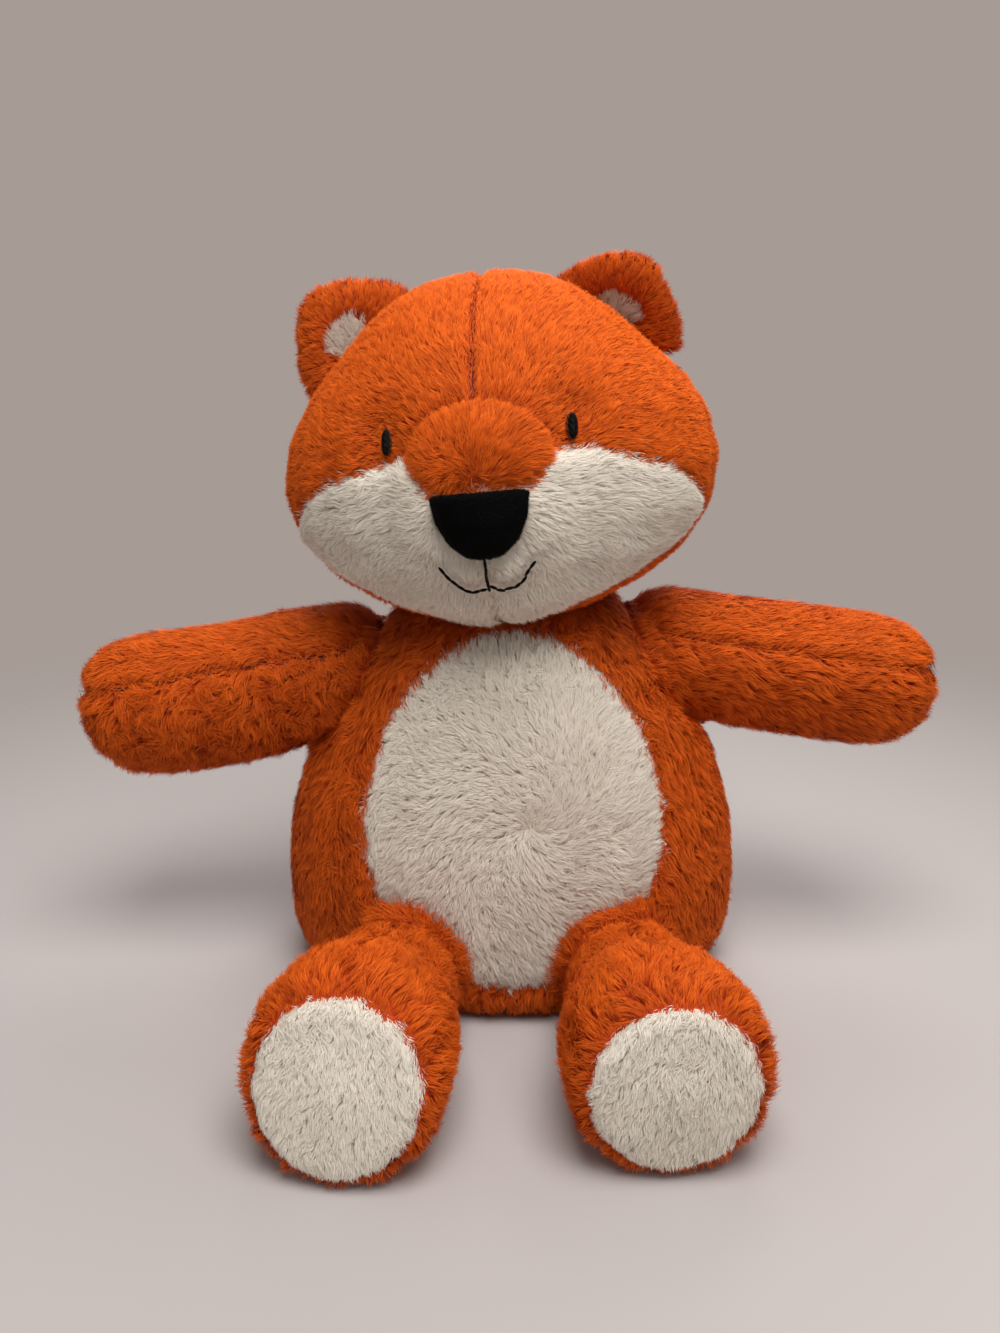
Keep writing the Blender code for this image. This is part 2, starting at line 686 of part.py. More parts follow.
def mouth_curve(sign):
    """One half of the smile, from beside the middle thread to the corner of the mouth."""
    points = []
    corner_azimuth, corner_elevation = MOUTH_CORNER
    for i in range(MOUTH_STEPS + 1):
        t = i / MOUTH_STEPS
        azimuth = MOUTH_GAP_AZIMUTH + (corner_azimuth - MOUTH_GAP_AZIMUTH) * t
        straight = MOUTH_MIDDLE_ELEVATION + (corner_elevation - MOUTH_MIDDLE_ELEVATION) * t
        points.append((sign * azimuth, straight - MOUTH_DIP_ELEVATION * 4 * t * (1 - t)))
    return points


def make_stitch(name, path, skin, materials, neck):
    """A line of thread that follows the head's surface."""
    thread = head_form(-SEAM_GAP - THREAD_THICKNESS, HEAD_SIDES, HEAD_RINGS)
    strip = make_cutter(name + "_strip", radial_strip(path, THREAD_THICKNESS / 2), neck)
    panel(name, thread, neck, materials["thread"], [strip], [skin])


def make_ear(side, materials, neck):
    """An ear on its own hinge frame. Returns the groove that its root lies in."""
    sign = 1 if side == "left" else -1
    place = head_point(sign * EAR_AZIMUTH, EAR_ELEVATION[side], -EAR_SUNK)
    frame = make_joint_frame("ear_%s_hinge" % side, neck, place, (EAR_TILT[side], sign * EAR_LEAN[side], 0))
    half_width, height = EAR_HALF_WIDTH[side], EAR_HEIGHT[side]
    centre = Vector((0, -EAR_HALF_THICKNESS, height * EAR_POCKET_RISE_SHARE))
    depth = EAR_HALF_THICKNESS * EAR_POCKET_DEPTH_SHARE
    pocket = Vector((half_width * EAR_POCKET_WIDTH_SHARE, depth, height * EAR_POCKET_HEIGHT_SHARE))
    lining = pocket - Vector((SEAM_GAP, SEAM_GAP, SEAM_GAP))
    hollow = Vector((pocket.x, depth * EAR_HOLLOW_SHARE, pocket.z))
    pocket_cut = make_cutter("ear_%s_pocket" % side, ellipsoid(centre, pocket, SMALL_SIDES, SMALL_RINGS), frame)
    lining_cut = make_cutter("ear_%s_lining" % side, ellipsoid(centre, lining, SMALL_SIDES, SMALL_RINGS), frame)
    hollow_cut = make_cutter("ear_%s_hollow" % side, ellipsoid(centre, hollow, SMALL_SIDES, SMALL_RINGS), frame)
    ear = ear_form(side, unit_ball(SOCKET_SIDES, SOCKET_RINGS))
    panel("ear_%s_outer" % side, ear, frame, materials["orange"], [], [pocket_cut])
    ear = ear_form(side, unit_ball(SOCKET_SIDES, SOCKET_RINGS))
    panel("ear_%s_inner" % side, ear, frame, materials["white"], [lining_cut], [hollow_cut])
    return make_cutter("ear_%s_groove" % side, swing_socket(ear_root(side), "X", EAR_SWING), frame)


def make_arm(side, materials):
    """An arm on its shoulder frame. Returns its socket in the body."""
    sign = 1 if side == "left" else -1
    height = NECK_PIVOT_HEIGHT + SHOULDER_RISE[side]
    out = body_size_at(height)[0] + SHOULDER_STANDOFF
    turn = (0, sign * ARM_DROOP[side], 0)
    frame = make_joint_frame("arm_%s_shoulder" % side, None, (sign * out, 0, height), turn)
    core = make_cutter("arm_%s_core" % side, arm_form(side, FABRIC, LIMB_CORE_SIDES), frame)
    seam = ARM_HALF_HEIGHT[side] * ARM_SEAM_RISE_SHARE
    upper = make_cutter("arm_%s_above" % side, half_space(2, seam + SEAM_GAP / 2, True), frame)
    lower = make_cutter("arm_%s_below" % side, half_space(2, seam - SEAM_GAP / 2, False), frame)
    orange = materials["orange"]
    panel("arm_%s_upper_panel" % side, arm_form(side, 0, LIMB_SIDES), frame, orange, [upper], [core])
    panel("arm_%s_lower_panel" % side, arm_form(side, 0, LIMB_SIDES), frame, orange, [lower], [core])
    inner = arm_form(side, FABRIC + SEAM_GAP, LIMB_CORE_SIDES)
    panel("arm_%s_stuffing" % side, inner, frame, materials["fibre"])
    root = arm_form(side, socket_grow(ARM_ROOT_RADIUS), SWING_SIDES, SOCKET_REACH_SHARE)
    return make_cutter("arm_%s_socket" % side, swing_socket(root, "Z", [sign * a for a in ARM_SWING]), frame)


def make_leg(side, materials):
    """A leg on its hip frame. Returns its socket in the body."""
    sign = 1 if side == "left" else -1
    height = LEG_RADIUS - FLOOR_FLAT
    half_width, front, _ = body_size_at(height)
    forward = front * math.sqrt(1 - HIP_SIDE_SHARE ** 2) + HIP_STANDOFF
    turn = (0, 0, sign * LEG_SPLAY[side])
    frame = make_joint_frame("leg_%s_hip" % side, None, (sign * half_width * HIP_SIDE_SHARE, -forward, height), turn)
    tilt = SOLE_TILT[side]
    core = make_cutter("leg_%s_core" % side, leg_form(tilt, FABRIC, LIMB_CORE_SIDES), frame)
    floor = make_cutter("leg_%s_floor" % side, half_space(2, -height, False), frame)
    outer_side = make_cutter("leg_%s_outer_side" % side, half_space(0, sign * SEAM_GAP / 2, sign > 0), frame)
    inner_side = make_cutter("leg_%s_inner_side" % side, half_space(0, -sign * SEAM_GAP / 2, sign < 0), frame)
    sole = make_cutter("leg_%s_sole" % side, sole_cylinder(0), frame)
    sole_hole = make_cutter("leg_%s_sole_hole" % side, sole_cylinder(SEAM_GAP), frame)
    orange = materials["orange"]
    remove = [core, floor, sole_hole]
    panel("leg_%s_outer_panel" % side, leg_form(tilt, 0, LIMB_SIDES), frame, orange, [outer_side], remove)
    panel("leg_%s_inner_panel" % side, leg_form(tilt, 0, LIMB_SIDES), frame, orange, [inner_side], remove)
    panel("leg_%s_sole_pad" % side, leg_form(tilt, 0, LIMB_SIDES), frame, materials["white"], [sole], [core])
    inner = leg_form(tilt, FABRIC + SEAM_GAP, LIMB_CORE_SIDES)
    panel("leg_%s_stuffing" % side, inner, frame, materials["fibre"])
    root = leg_form(0, socket_grow(LEG_ROOT_RADIUS), SWING_SIDES, SOCKET_REACH_SHARE)
    return make_cutter("leg_%s_socket" % side, swing_socket(root, "X", LEG_SWING), frame)


def sole_cylinder(grow):
    """The round outline of the sole, through the front of the foot."""
    lift = Z * (FOOT_RADIUS - LEG_RADIUS)
    near, far = LEG_LENGTH * LEG_RING_SHARES[-3][0], LEG_LENGTH + CUT_OVERRUN
    radius = SOLE_RADIUS + grow
    return loft([oval_ring(lift - Y * y, X, Z, radius, radius, SOCKET_SIDES) for y in (near, far)])


def make_tail(materials):
    """The tail on its root's frame. Returns its socket in the body."""
    back = body_size_at(TAIL_HEIGHT)[2] + TAIL_STANDOFF
    frame = make_joint_frame("tail_root", None, (0, back, TAIL_HEIGHT), (0, 0, 0))
    seam = TAIL_LENGTH * TAIL_TIP_SHARE
    core = make_cutter("tail_core", tail_form(FABRIC, LIMB_CORE_SIDES), frame)
    before = make_cutter("tail_before", half_space(1, seam, False), frame)
    beyond = make_cutter("tail_beyond", half_space(1, seam + SEAM_GAP, True), frame)
    panel("tail_base", tail_form(0, LIMB_SIDES), frame, materials["orange"], [before], [core])
    panel("tail_tip", tail_form(0, LIMB_SIDES), frame, materials["white"], [beyond], [core])
    panel("tail_stuffing", tail_form(FABRIC + SEAM_GAP, LIMB_CORE_SIDES), frame, materials["fibre"])
    root = tail_form(socket_grow(TAIL_ROOT_RADIUS), SWING_SIDES, SOCKET_REACH_SHARE)
    return make_cutter("tail_socket", swing_socket(root, "Z", TAIL_WAG), frame)


def main():
    clear_scene()
    materials = {
        "orange": fabric_material("orange_plush", ORANGE, 0.95),
        "white": fabric_material("white_plush", WHITE, 0.95),
        "velour": fabric_material("black_velour", BLACK, 0.85),
        "thread": fabric_material("black_thread", BLACK, 0.45),
        "fibre": fabric_material("polyester_fibre", FIBRE, 0.9),
        "bean": fabric_material("bean_pouch_cloth", BEAN, 0.8),
    }
    sockets = []
    for side in ("left", "right"):
        sockets.append(make_arm(side, materials))
        sockets.append(make_leg(side, materials))
    sockets.append(make_tail(materials))
    make_body(materials, sockets)
    pivot = (0, NECK_PIVOT_BACK, NECK_PIVOT_HEIGHT)
    neck = make_joint_frame("neck_pivot", None, pivot, (0, HEAD_ROLL, HEAD_YAW))
    make_head(materials, neck)


if __name__ == "__main__":
    main()
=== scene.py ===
"""Plush fox: stuffed skins under a combed pile, velour nose, stitched face, camera and stage."""
import math

import bmesh
import bpy
import numpy as np
from bpy.props import FloatProperty, FloatVectorProperty, IntProperty, PointerProperty
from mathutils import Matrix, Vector
from mathutils.bvhtree import BVHTree


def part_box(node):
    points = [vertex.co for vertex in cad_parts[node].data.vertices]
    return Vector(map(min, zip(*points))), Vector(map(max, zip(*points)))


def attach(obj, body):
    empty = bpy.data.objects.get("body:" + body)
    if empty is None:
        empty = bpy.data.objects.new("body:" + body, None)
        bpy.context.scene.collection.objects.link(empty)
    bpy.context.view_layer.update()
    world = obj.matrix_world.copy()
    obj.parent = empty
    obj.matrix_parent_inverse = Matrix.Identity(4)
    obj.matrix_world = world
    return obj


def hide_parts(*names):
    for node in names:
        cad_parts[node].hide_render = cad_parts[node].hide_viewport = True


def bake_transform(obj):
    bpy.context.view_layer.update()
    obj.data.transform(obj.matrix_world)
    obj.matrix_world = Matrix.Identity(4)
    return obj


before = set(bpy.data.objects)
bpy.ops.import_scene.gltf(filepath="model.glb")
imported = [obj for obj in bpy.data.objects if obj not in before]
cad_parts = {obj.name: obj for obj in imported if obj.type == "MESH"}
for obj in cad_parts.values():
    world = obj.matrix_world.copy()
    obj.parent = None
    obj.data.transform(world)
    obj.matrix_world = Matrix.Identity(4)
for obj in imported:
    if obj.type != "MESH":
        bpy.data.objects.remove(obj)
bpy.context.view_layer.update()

bl_info = {
    "name": "Plush fox",
    "version": (1, 0, 0),
    "blender": (4, 5, 0),
    "location": "View3D > Sidebar > Plush fox",
    "description": "Dresses the packed fox with stuffed skins, combed pile and a stitched face",
    "category": "Object",
}

SIDES = ("left", "right")
# The fabric panels that are sewn round each stuffed body
PANELS = {
    "body": ("body_front_panel", "belly_panel", "body_back_left_panel", "body_back_right_panel"),
    "head": (
        "crown_left_panel", "crown_right_panel", "head_back_left_panel", "head_back_right_panel",
        "muzzle_top_panel", "cheek_left_panel", "cheek_right_panel",
    ),
    "tail": ("tail_base", "tail_tip"),
}
for side in SIDES:
    PANELS["ear_" + side] = ("ear_%s_outer" % side, "ear_%s_inner" % side)
    PANELS["arm_" + side] = ("arm_%s_upper_panel" % side, "arm_%s_lower_panel" % side)
    PANELS["leg_" + side] = ("leg_%s_inner_panel" % side, "leg_%s_outer_panel" % side, "leg_%s_sole_pad" % side)
# The panels with white pile. The others are orange
WHITE_PANELS = (
    "belly_panel", "cheek_left_panel", "cheek_right_panel", "ear_left_inner", "ear_right_inner", "tail_tip",
    "leg_left_sole_pad", "leg_right_sole_pad",
)
# The trims on the head
FACE_NODES = ("nose", "eye_left", "eye_right", "mouth_center_stitch", "mouth_left_stitch", "mouth_right_stitch")
# How the names of the bodies begin on which a seam between orange panels gets a dark line of painted shade
SEAM_SHADE_BODIES = ("head", "arm")
# What the pile tree reads at each point of a cloth: density, length, lean and the way that it is combed
PILE_FIELDS = ("fullness", "pile", "lean", "comb")
PER_SQUARE_MM = 1e6
# Rounds of smoothing that take the voxel steps out of a shell
CLOTH_ROUNDS, BRIDGE_ROUNDS, NOSE_ROUNDS = 6, 30, 8
# Share of the cloth's faces that a filling keeps
FILLING_SHARE = 0.25
# Faces beside another body that the cloth simulation holds still
HELD_CELLS = 1.5
# An ear's lining rises from its seam over this width
LINING_EDGE = 0.003


def linear(colour):
    """A linear colour from its sRGB hex value."""
    shares = [int(colour[i:i + 2], 16) / 255 for i in (1, 3, 5)]
    return [s / 12.92 if s <= 0.04045 else ((s + 0.055) / 1.055) ** 2.4 for s in shares]


def size(name, description, millimetres):
    return FloatProperty(name=name, description=description, default=millimetres / 1000, unit="LENGTH")


def share(name, description, default):
    return FloatProperty(name=name, description=description, default=default, subtype="FACTOR")


def colour(name, description, value):
    return FloatVectorProperty(name=name, description=description, default=linear(value), subtype="COLOR", size=3)


class FoxSkinSizes(bpy.types.PropertyGroup):
    inset: size("Inset", "How far the backing cloth lies under the solid's surface beside a joint or a trim", 1.5)
    puff: size("Puff", "How far the stuffing holds the cloth over the solid's surface elsewhere", -0.2)
    ear_puff: size("Ear puff", "The same for the ears", -1.1)
    ear_lining: size("Ear lining", "How far the lining fills the hollow of its ear", 2.8)
    joint_start: size("Joint start", "Room beside another body at which the cloth starts to rise", 2.0)
    joint_rise: size("Joint rise", "From there to cloth in its full place", 7.0)
    reach: size("Reach", "How far other bodies are looked for", 12)
    swell: size("Swell", "Most that the stuffing pushes a panel out", 0.6)
    thickness: size("Thickness", "From the outside of the cloth to the filling", 1.2)
    pressure: FloatProperty(name="Pressure", description="Pressure of the stuffing on the cloth", default=4.0)
    frames: IntProperty(name="Frames", description="Frames of the cloth simulation", default=20)
    body_cell: size("Cell, body", "Face size of the body", 2.0)
    head_cell: size("Cell, head", "Face size of the head", 1.5)
    small_cell: size("Cell, small pieces", "Face size of the limbs and the tail", 1.6)
    ear_cell: size("Cell, ears", "Face size of the ears", 1.1)
    seam_depth: size("Seam depth", "How far a seam pulls the cloth in", 0.6)
    seam_width: size("Seam width", "Half width of the dip along a seam", 1.5)
    # Painted shade: along this line the cloth is painted dark, for the shade in the pinched seam
    seam_line: size("Seam line", "Half width of the dark line where a seam pinches the cloth", 0.9)
    bridge_cell: size("Cell, bridges", "Face size of the cloth that crosses a joint", 1.8)
    bridge_proud: size("Bridge edge", "Cloth across a joint stands at least this far out of both bodies", 1.0)
    bridge_puff: size("Bridge puff", "How far the stuffing pushes it out", 1.2)
    bridge_belly: size("Bridge on the belly", "How far from a limb the cloth across its joint covers the belly", 5.0)
    bridge_turn: size("Bridge turn", "Half length over which it bends", 11.0)
    joint_room: size("Joint room", "Cloth this close to another body carries no pile", 0.7)
    joint_fade: size("Joint fade", "From there to pile of full length", 4.0)


class FoxPileSizes(bpy.types.PropertyGroup):
    density: FloatProperty(name="Density", description="Strands on each square millimetre", default=11.0)
    width: size("Strand width", "Width of a strand at its middle", 0.17)
    clump_gap: size("Clump gap", "Mean distance between the middles of tufts", 1.2)
    clump_pull: share("Clump pull", "How far a strand's tip is drawn to the middle of its tuft", 0.45)
    clump_spread: share("Clump spread", "How far tufts turn away from the comb in straight pile", 0.30)
    strand_spread: share("Strand spread", "How far strands turn away from their tuft", 0.28)
    wave: size("Wave", "Sideways wave of a strand", 0.5)
    shade_spread: share("Shade spread", "How much strands differ in shade", 0.5)
    # Painted shade: curled pile is painted darker, for the shade deep in its curls
    painted_curl_shade: share("Shade fall", "How much darker curled pile is", 0.14)
    tilt_spread: share("Tilt spread", "How much strands differ in height", 0.35)
    stroke: share("Stroke", "How far earlier strokes have bent the comb", 0.22)
    parting: share("Parting", "How far the pile turns away from a seam between panels of one colour", 0.8)
    cuff: share("Cuff", "How far the pile round a sole stands up", 0.45)
    cuff_width: size("Cuff width", "How far from the sole it does", 4.5)
    seat_cover: share("Seat cover", "Share of the strands that grow where the fox rests on the floor", 0.2)
    floor_gap: size("Floor gap", "Least height of the pile over the floor", 0.2)
    seed: IntProperty(name="Seed", description="Seed of every random choice", default=7)


class FoxColours(bpy.types.PropertyGroup):
    orange_tip: colour("Orange tip", "Tips of the orange pile", "#ff7a20")
    # Painted shade: the roots are painted darker and redder than the tips, and the deep colour is painted shade between
    # the strands
    orange_root: colour("Orange root", "Roots of the orange pile", "#b42603")
    orange_painted_shade: colour("Orange deep", "The darkest strands of it", "#8a1400")
    orange_knit: colour("Orange knit", "Backing cloth of the orange pile", "#d24a0c")
    white_tip: colour("White tip", "Tips of the white pile", "#fbf3e6")
    # Painted shade: the same for the white pile's roots and its deep colour
    white_root: colour("White root", "Roots of the white pile", "#e8dcca")
    white_painted_shade: colour("White deep", "The darkest strands of it", "#c4b59f")
    velour: colour("Velour", "Nose", "#020202")
    thread: colour("Thread", "Eyes and mouth", "#020202")
    eye_edge: colour("Eye edge", "Thread round each eye", "#3a1a10")
    fibre: colour("Fibre", "Stuffing", "#eeece6")
    pouch: colour("Pouch", "Bean pouch in the seat", "#d9d4c6")
    floor: colour("Floor", "Table top", "#b8b0ad")
    wall: colour("Wall", "Background", "#a69b95")


class FoxFaceSizes(bpy.types.PropertyGroup):
    nose_nap: size("Nose nap", "Length of the velour's nap", 0.45)
    mouth_thread: size("Mouth thread", "Thickness of the mouth's thread", 0.85)
    mouth_stitch: size("Mouth stitch", "Length of one back stitch", 2.1)
    mouth_lift: size("Mouth lift", "How far the thread lies above its solid", 0.3)
    eye_thread: size("Eye thread", "Thickness of the satin stitch's thread", 0.34)
    eye_lift: size("Eye lift", "How far the satin stitch stands above its solid", 0.7)


class FoxStageSizes(bpy.types.PropertyGroup):
    lens: FloatProperty(name="Lens", description="Focal length on a sensor 36 mm long, in millimetres", default=27.0)
    side: size("Camera side", "Camera's place to the side", -3.5)
    distance: size("Camera distance", "Camera's distance in front of the seat", 305)
    height: size("Camera height", "Camera's height over the floor", 163.5)
    pitch: FloatProperty(name="Camera pitch", description="Downward tilt", default=math.radians(13), unit="ROTATION")
    floor_radius: size("Floor radius", "Where the floor ends", 1500)


def add(tree, kind, settings=None, inputs=None):
    """Adds a node with its settings, and sets or links its inputs by name or place among those in use."""
    node = tree.nodes.new(kind)
    for key, value in (settings or {}).items():
        setattr(node, key, value)
    for key, value in (inputs or {}).items():
        sockets = [s for s in node.inputs if s.enabled]
        socket = sockets[key] if isinstance(key, int) else next(s for s in sockets if s.name == key)
        if isinstance(value, bpy.types.NodeSocket):
            tree.links.new(value, socket)
        else:
            socket.default_value = value
    return node


def out(node, name=None):
    """The first output in use, or the one with that name."""
    return next(s for s in node.outputs if s.enabled and name in (None, s.name))


# ---- Materials


def surface_material(name):
    """A node material that holds its shader and nothing else so far."""
    material = bpy.data.materials.new(name)
    material.use_nodes = True
    tree = material.node_tree
    tree.nodes.clear()
    shader = add(tree, "ShaderNodeBsdfPrincipled")
    add(tree, "ShaderNodeOutputMaterial", None, {"Surface": shader.outputs["BSDF"]})
    return material, tree, shader


def pile_material(name, root, tip, deep, shadow):
    """Knitted polyester pile. Its roots are painted darker and redder than its tips, and its darker strands are mixed
    toward a deep colour: painted shade for the light that gets deep between the strands.

    Its own map gives the place along a strand as U, and the strand's own shade as V.
    """
    material, tree, shader = surface_material(name)
    place = add(tree, "ShaderNodeUVMap", {"uv_map": "OFBake"})
    split = add(tree, "ShaderNodeSeparateXYZ", None, {0: out(place)})
    ramp = add(tree, "ShaderNodeValToRGB", None, {0: split.outputs["X"]})
    ramp.color_ramp.elements[0].color = (*root, 1)
    ramp.color_ramp.elements[1].position = 0.9
    ramp.color_ramp.elements[1].color = (*tip, 1)
    # Painted shade: the lower a strand's shade, the more its colour is mixed toward the deep colour
    shade = add(tree, "ShaderNodeMapRange", None, {0: split.outputs["Y"], 3: shadow, 4: 1.0})
    mixed = add(tree, "ShaderNodeMix", {"data_type": "RGBA"}, {0: out(shade), 1: (*deep, 1), 2: out(ramp)})
    tree.links.new(mixed.outputs[2], shader.inputs["Base Color"])
    shader.inputs["Roughness"].default_value = 0.75
    shader.inputs["Specular IOR Level"].default_value = 0.12
    return material


def knit_material(name, tint):
    """Weft-knit polyester backing, dyed like its pile. Its loops show only where the pile parts."""
    loop_size = 0.0006
    material, tree, shader = surface_material(name)
    place = add(tree, "ShaderNodeTexCoord")
    loops = add(tree, "ShaderNodeTexVoronoi", None, {"Vector": place.outputs["Object"], "Scale": 1 / loop_size})
    # Painted shade: the knit is painted up to a fifth darker away from the middle of each loop, between the loops
    shade = add(tree, "ShaderNodeMapRange", None, {0: loops.outputs["Distance"], 3: 1.0, 4: 0.8})
    mixed = add(tree, "ShaderNodeMix", {"data_type": "RGBA", "blend_type": "MULTIPLY"}, {0: 1.0, 1: (*tint, 1)})
    tree.links.new(out(shade), mixed.inputs[7])
    tree.links.new(mixed.outputs[2], shader.inputs["Base Color"])
    bump = add(tree, "ShaderNodeBump", None, {"Distance": 0.0002, "Height": loops.outputs["Distance"]})
    tree.links.new(out(bump), shader.inputs["Normal"])
    shader.inputs["Roughness"].default_value = 0.9
    return material


def velour_material(name, tint):
    """Close-cut velour: a matte black nap with a painted sheen that turns it a little grey where it is brushed."""
    brushed_size, nap_size = 0.004, 0.0004
    material, tree, shader = surface_material(name)
    place = add(tree, "ShaderNodeTexCoord")
    brush = add(tree, "ShaderNodeTexNoise", None, {"Vector": place.outputs["Object"], "Scale": 1 / brushed_size})
    nap = add(tree, "ShaderNodeTexNoise", None, {"Vector": place.outputs["Object"], "Scale": 1 / nap_size})
    # Painted sheen: the nap is painted up to 2.2 times lighter in brushed patches
    ramp = add(tree, "ShaderNodeValToRGB", None, {0: out(brush)})
    ramp.color_ramp.elements[0].color = (*tint, 1)
    ramp.color_ramp.elements[1].color = (*[c * 2.2 for c in tint], 1)
    bump = add(tree, "ShaderNodeBump", None, {"Distance": 0.0002, "Height": out(nap)})
    tree.links.new(out(ramp), shader.inputs["Base Color"])
    tree.links.new(out(bump), shader.inputs["Normal"])
    shader.inputs["Roughness"].default_value = 0.95
    shader.inputs["Specular IOR Level"].default_value = 0.08
    return material


def thread_material(name, tint):
    """Rayon embroidery thread: two plies with a painted silky shine across their twist."""
    twist_length = 0.0005
    material, tree, shader = surface_material(name)
    place = add(tree, "ShaderNodeTexCoord")
    turned = add(tree, "ShaderNodeMapping", None, {"Vector": place.outputs["Object"], "Rotation": (0.5, 0.6, 0.7)})
    twist = add(tree, "ShaderNodeTexWave", None,
                {"Vector": out(turned), "Scale": 1 / (twist_length * math.tau), "Distortion": 1.5})
    # Painted highlight: the thread is painted up to twice as light along its twist; the bump below is its real relief
    ramp = add(tree, "ShaderNodeValToRGB", None, {0: out(twist)})
    ramp.color_ramp.elements[0].color = (*tint, 1)
    ramp.color_ramp.elements[1].color = (*[c * 2 for c in tint], 1)
    bump = add(tree, "ShaderNodeBump", None, {"Distance": 0.0001, "Height": out(twist)})
    tree.links.new(out(ramp), shader.inputs["Base Color"])
    tree.links.new(out(bump), shader.inputs["Normal"])
    shader.inputs["Roughness"].default_value = 0.55
    shader.inputs["Specular IOR Level"].default_value = 0.12
    return material


def fibre_material(name, tint):
    """Loose polyester filling: fine crimped fibres, white and matte."""
    fibre_gap = 0.0008
    material, tree, shader = surface_material(name)
    place = add(tree, "ShaderNodeTexCoord")
    crimp = add(tree, "ShaderNodeTexNoise", None,
                {"Vector": place.outputs["Object"], "Scale": 1 / fibre_gap, "Distortion": 2.0})
    ramp = add(tree, "ShaderNodeValToRGB", None, {0: out(crimp)})
    ramp.color_ramp.elements[0].color = (*[c * 0.7 for c in tint], 1)
    ramp.color_ramp.elements[1].color = (*tint, 1)
    tree.links.new(out(ramp), shader.inputs["Base Color"])
    shader.inputs["Roughness"].default_value = 0.85
    return material


MATERIALS = {}


def material(name):
    """The fox's materials, each made once from the colours in the panel."""
    if name not in MATERIALS:
        c = bpy.context.scene.fox_colours
        makers = {
            "orange_pile": lambda: pile_material(
                "Dyed polyester pile, orange", c.orange_root, c.orange_tip, c.orange_painted_shade, 0.5),
            "white_pile": lambda: pile_material("Polyester pile, white", c.white_root, c.white_tip, c.white_painted_shade, 0.75),
            "orange_knit": lambda: knit_material("Knitted backing, orange", c.orange_knit),
            "white_knit": lambda: knit_material("Knitted backing, white", c.white_root),
            # Painted shade: the dark seam finish is the backing at a quarter of the root's colour
            "painted_seam_shade": lambda: knit_material("Knitted backing, pinched", [x * 0.25 for x in c.orange_root]),
            "velour": lambda: velour_material("Cut velour, black", c.velour),
            # Painted shade: the nap's roots and its darker strands are painted blacker than its tips, as in the pile
            "nap": lambda: pile_material("Velour nap, black", c.velour, [x * 1.8 for x in c.velour], c.velour, 0.6),
            "thread": lambda: thread_material("Embroidery thread, black", c.thread),
            "edge": lambda: thread_material("Embroidery thread, brown", c.eye_edge),
            "fibre": lambda: fibre_material("Polyester filling", c.fibre),
            "pouch": lambda: knit_material("Cotton pouch", c.pouch),
        }
        MATERIALS[name] = makers[name]()
    return MATERIALS[name]


# ---- Meshes


def new_object(name, mesh):
    obj = bpy.data.objects.new(name, mesh)
    bpy.context.scene.collection.objects.link(obj)
    return obj


def evaluated(obj, name):
    """The object's mesh with its modifiers worked in, under a new name. The object itself goes."""
    graph = bpy.context.evaluated_depsgraph_get()
    mesh = bpy.data.meshes.new_from_object(obj.evaluated_get(graph), depsgraph=graph)
    mesh.name = name
    bpy.data.objects.remove(obj)
    return mesh


def points_of(mesh):
    co = np.empty(len(mesh.vertices) * 3)
    mesh.vertices.foreach_get("co", co)
    return co.reshape(-1, 3)


def normals_of(mesh):
    values = np.empty(len(mesh.vertices) * 3)
    mesh.vertex_normals.foreach_get("vector", values)
    return values.reshape(-1, 3)


def set_points(mesh, co):
    mesh.vertices.foreach_set("co", np.asarray(co, np.float32).ravel())
    mesh.update()


def store(mesh, name, values):
    """Writes a number or a vector at each point of a mesh."""
    values = np.asarray(values, np.float32)
    kind, field = ("FLOAT", "value") if values.ndim == 1 else ("FLOAT_VECTOR", "vector")
    attribute = mesh.attributes.get(name) or mesh.attributes.new(name, kind, "POINT")
    attribute.data.foreach_set(field, values.ravel())


def strip(mesh):
    """Removes what the pile tree reads from a cloth that has its pile."""
    for name in PILE_FIELDS:
        mesh.attributes.remove(mesh.attributes[name])


def largest_island(mesh):
    """Removes all but the largest connected shell."""
    bm = bmesh.new()
    bm.from_mesh(mesh)
    left, best = set(bm.verts), []
    while left:
        island, edge = [], [left.pop()]
        while edge:
            vert = edge.pop()
            island.append(vert)
            for link in vert.link_edges:
                other = link.other_vert(vert)
                if other in left:
                    left.remove(other)
                    edge.append(other)
        if len(island) > len(best):
            best = island
    keep = set(best)
    bmesh.ops.delete(bm, geom=[v for v in bm.verts if v not in keep], context="VERTS")
    bmesh.ops.recalc_face_normals(bm, faces=bm.faces)
    bm.to_mesh(mesh)
    bm.free()


def fused(name, nodes, voxel, rounds):
    """One smooth closed shell round some CAD solids."""
    bm = bmesh.new()
    for node in nodes:
        bm.from_mesh(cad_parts[node].data)
    bmesh.ops.remove_doubles(bm, verts=bm.verts, dist=1e-6)
    mesh = bpy.data.meshes.new(name)
    bm.to_mesh(mesh)
    bm.free()
    obj = new_object(name, mesh)
    fuse = obj.modifiers.new("fuse", "REMESH")
    fuse.mode = "VOXEL"
    fuse.voxel_size = voxel
    smooth = obj.modifiers.new("round", "SMOOTH")
    smooth.factor = 0.5
    smooth.iterations = rounds
    mesh = evaluated(obj, name)
    largest_island(mesh)
    return mesh


TREES = {}


def tree_of(node):
    """A search tree of a CAD solid's surface."""
    if node not in TREES:
        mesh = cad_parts[node].data
        TREES[node] = BVHTree.FromPolygons([v.co for v in mesh.vertices], [p.vertices for p in mesh.polygons])
    return TREES[node]


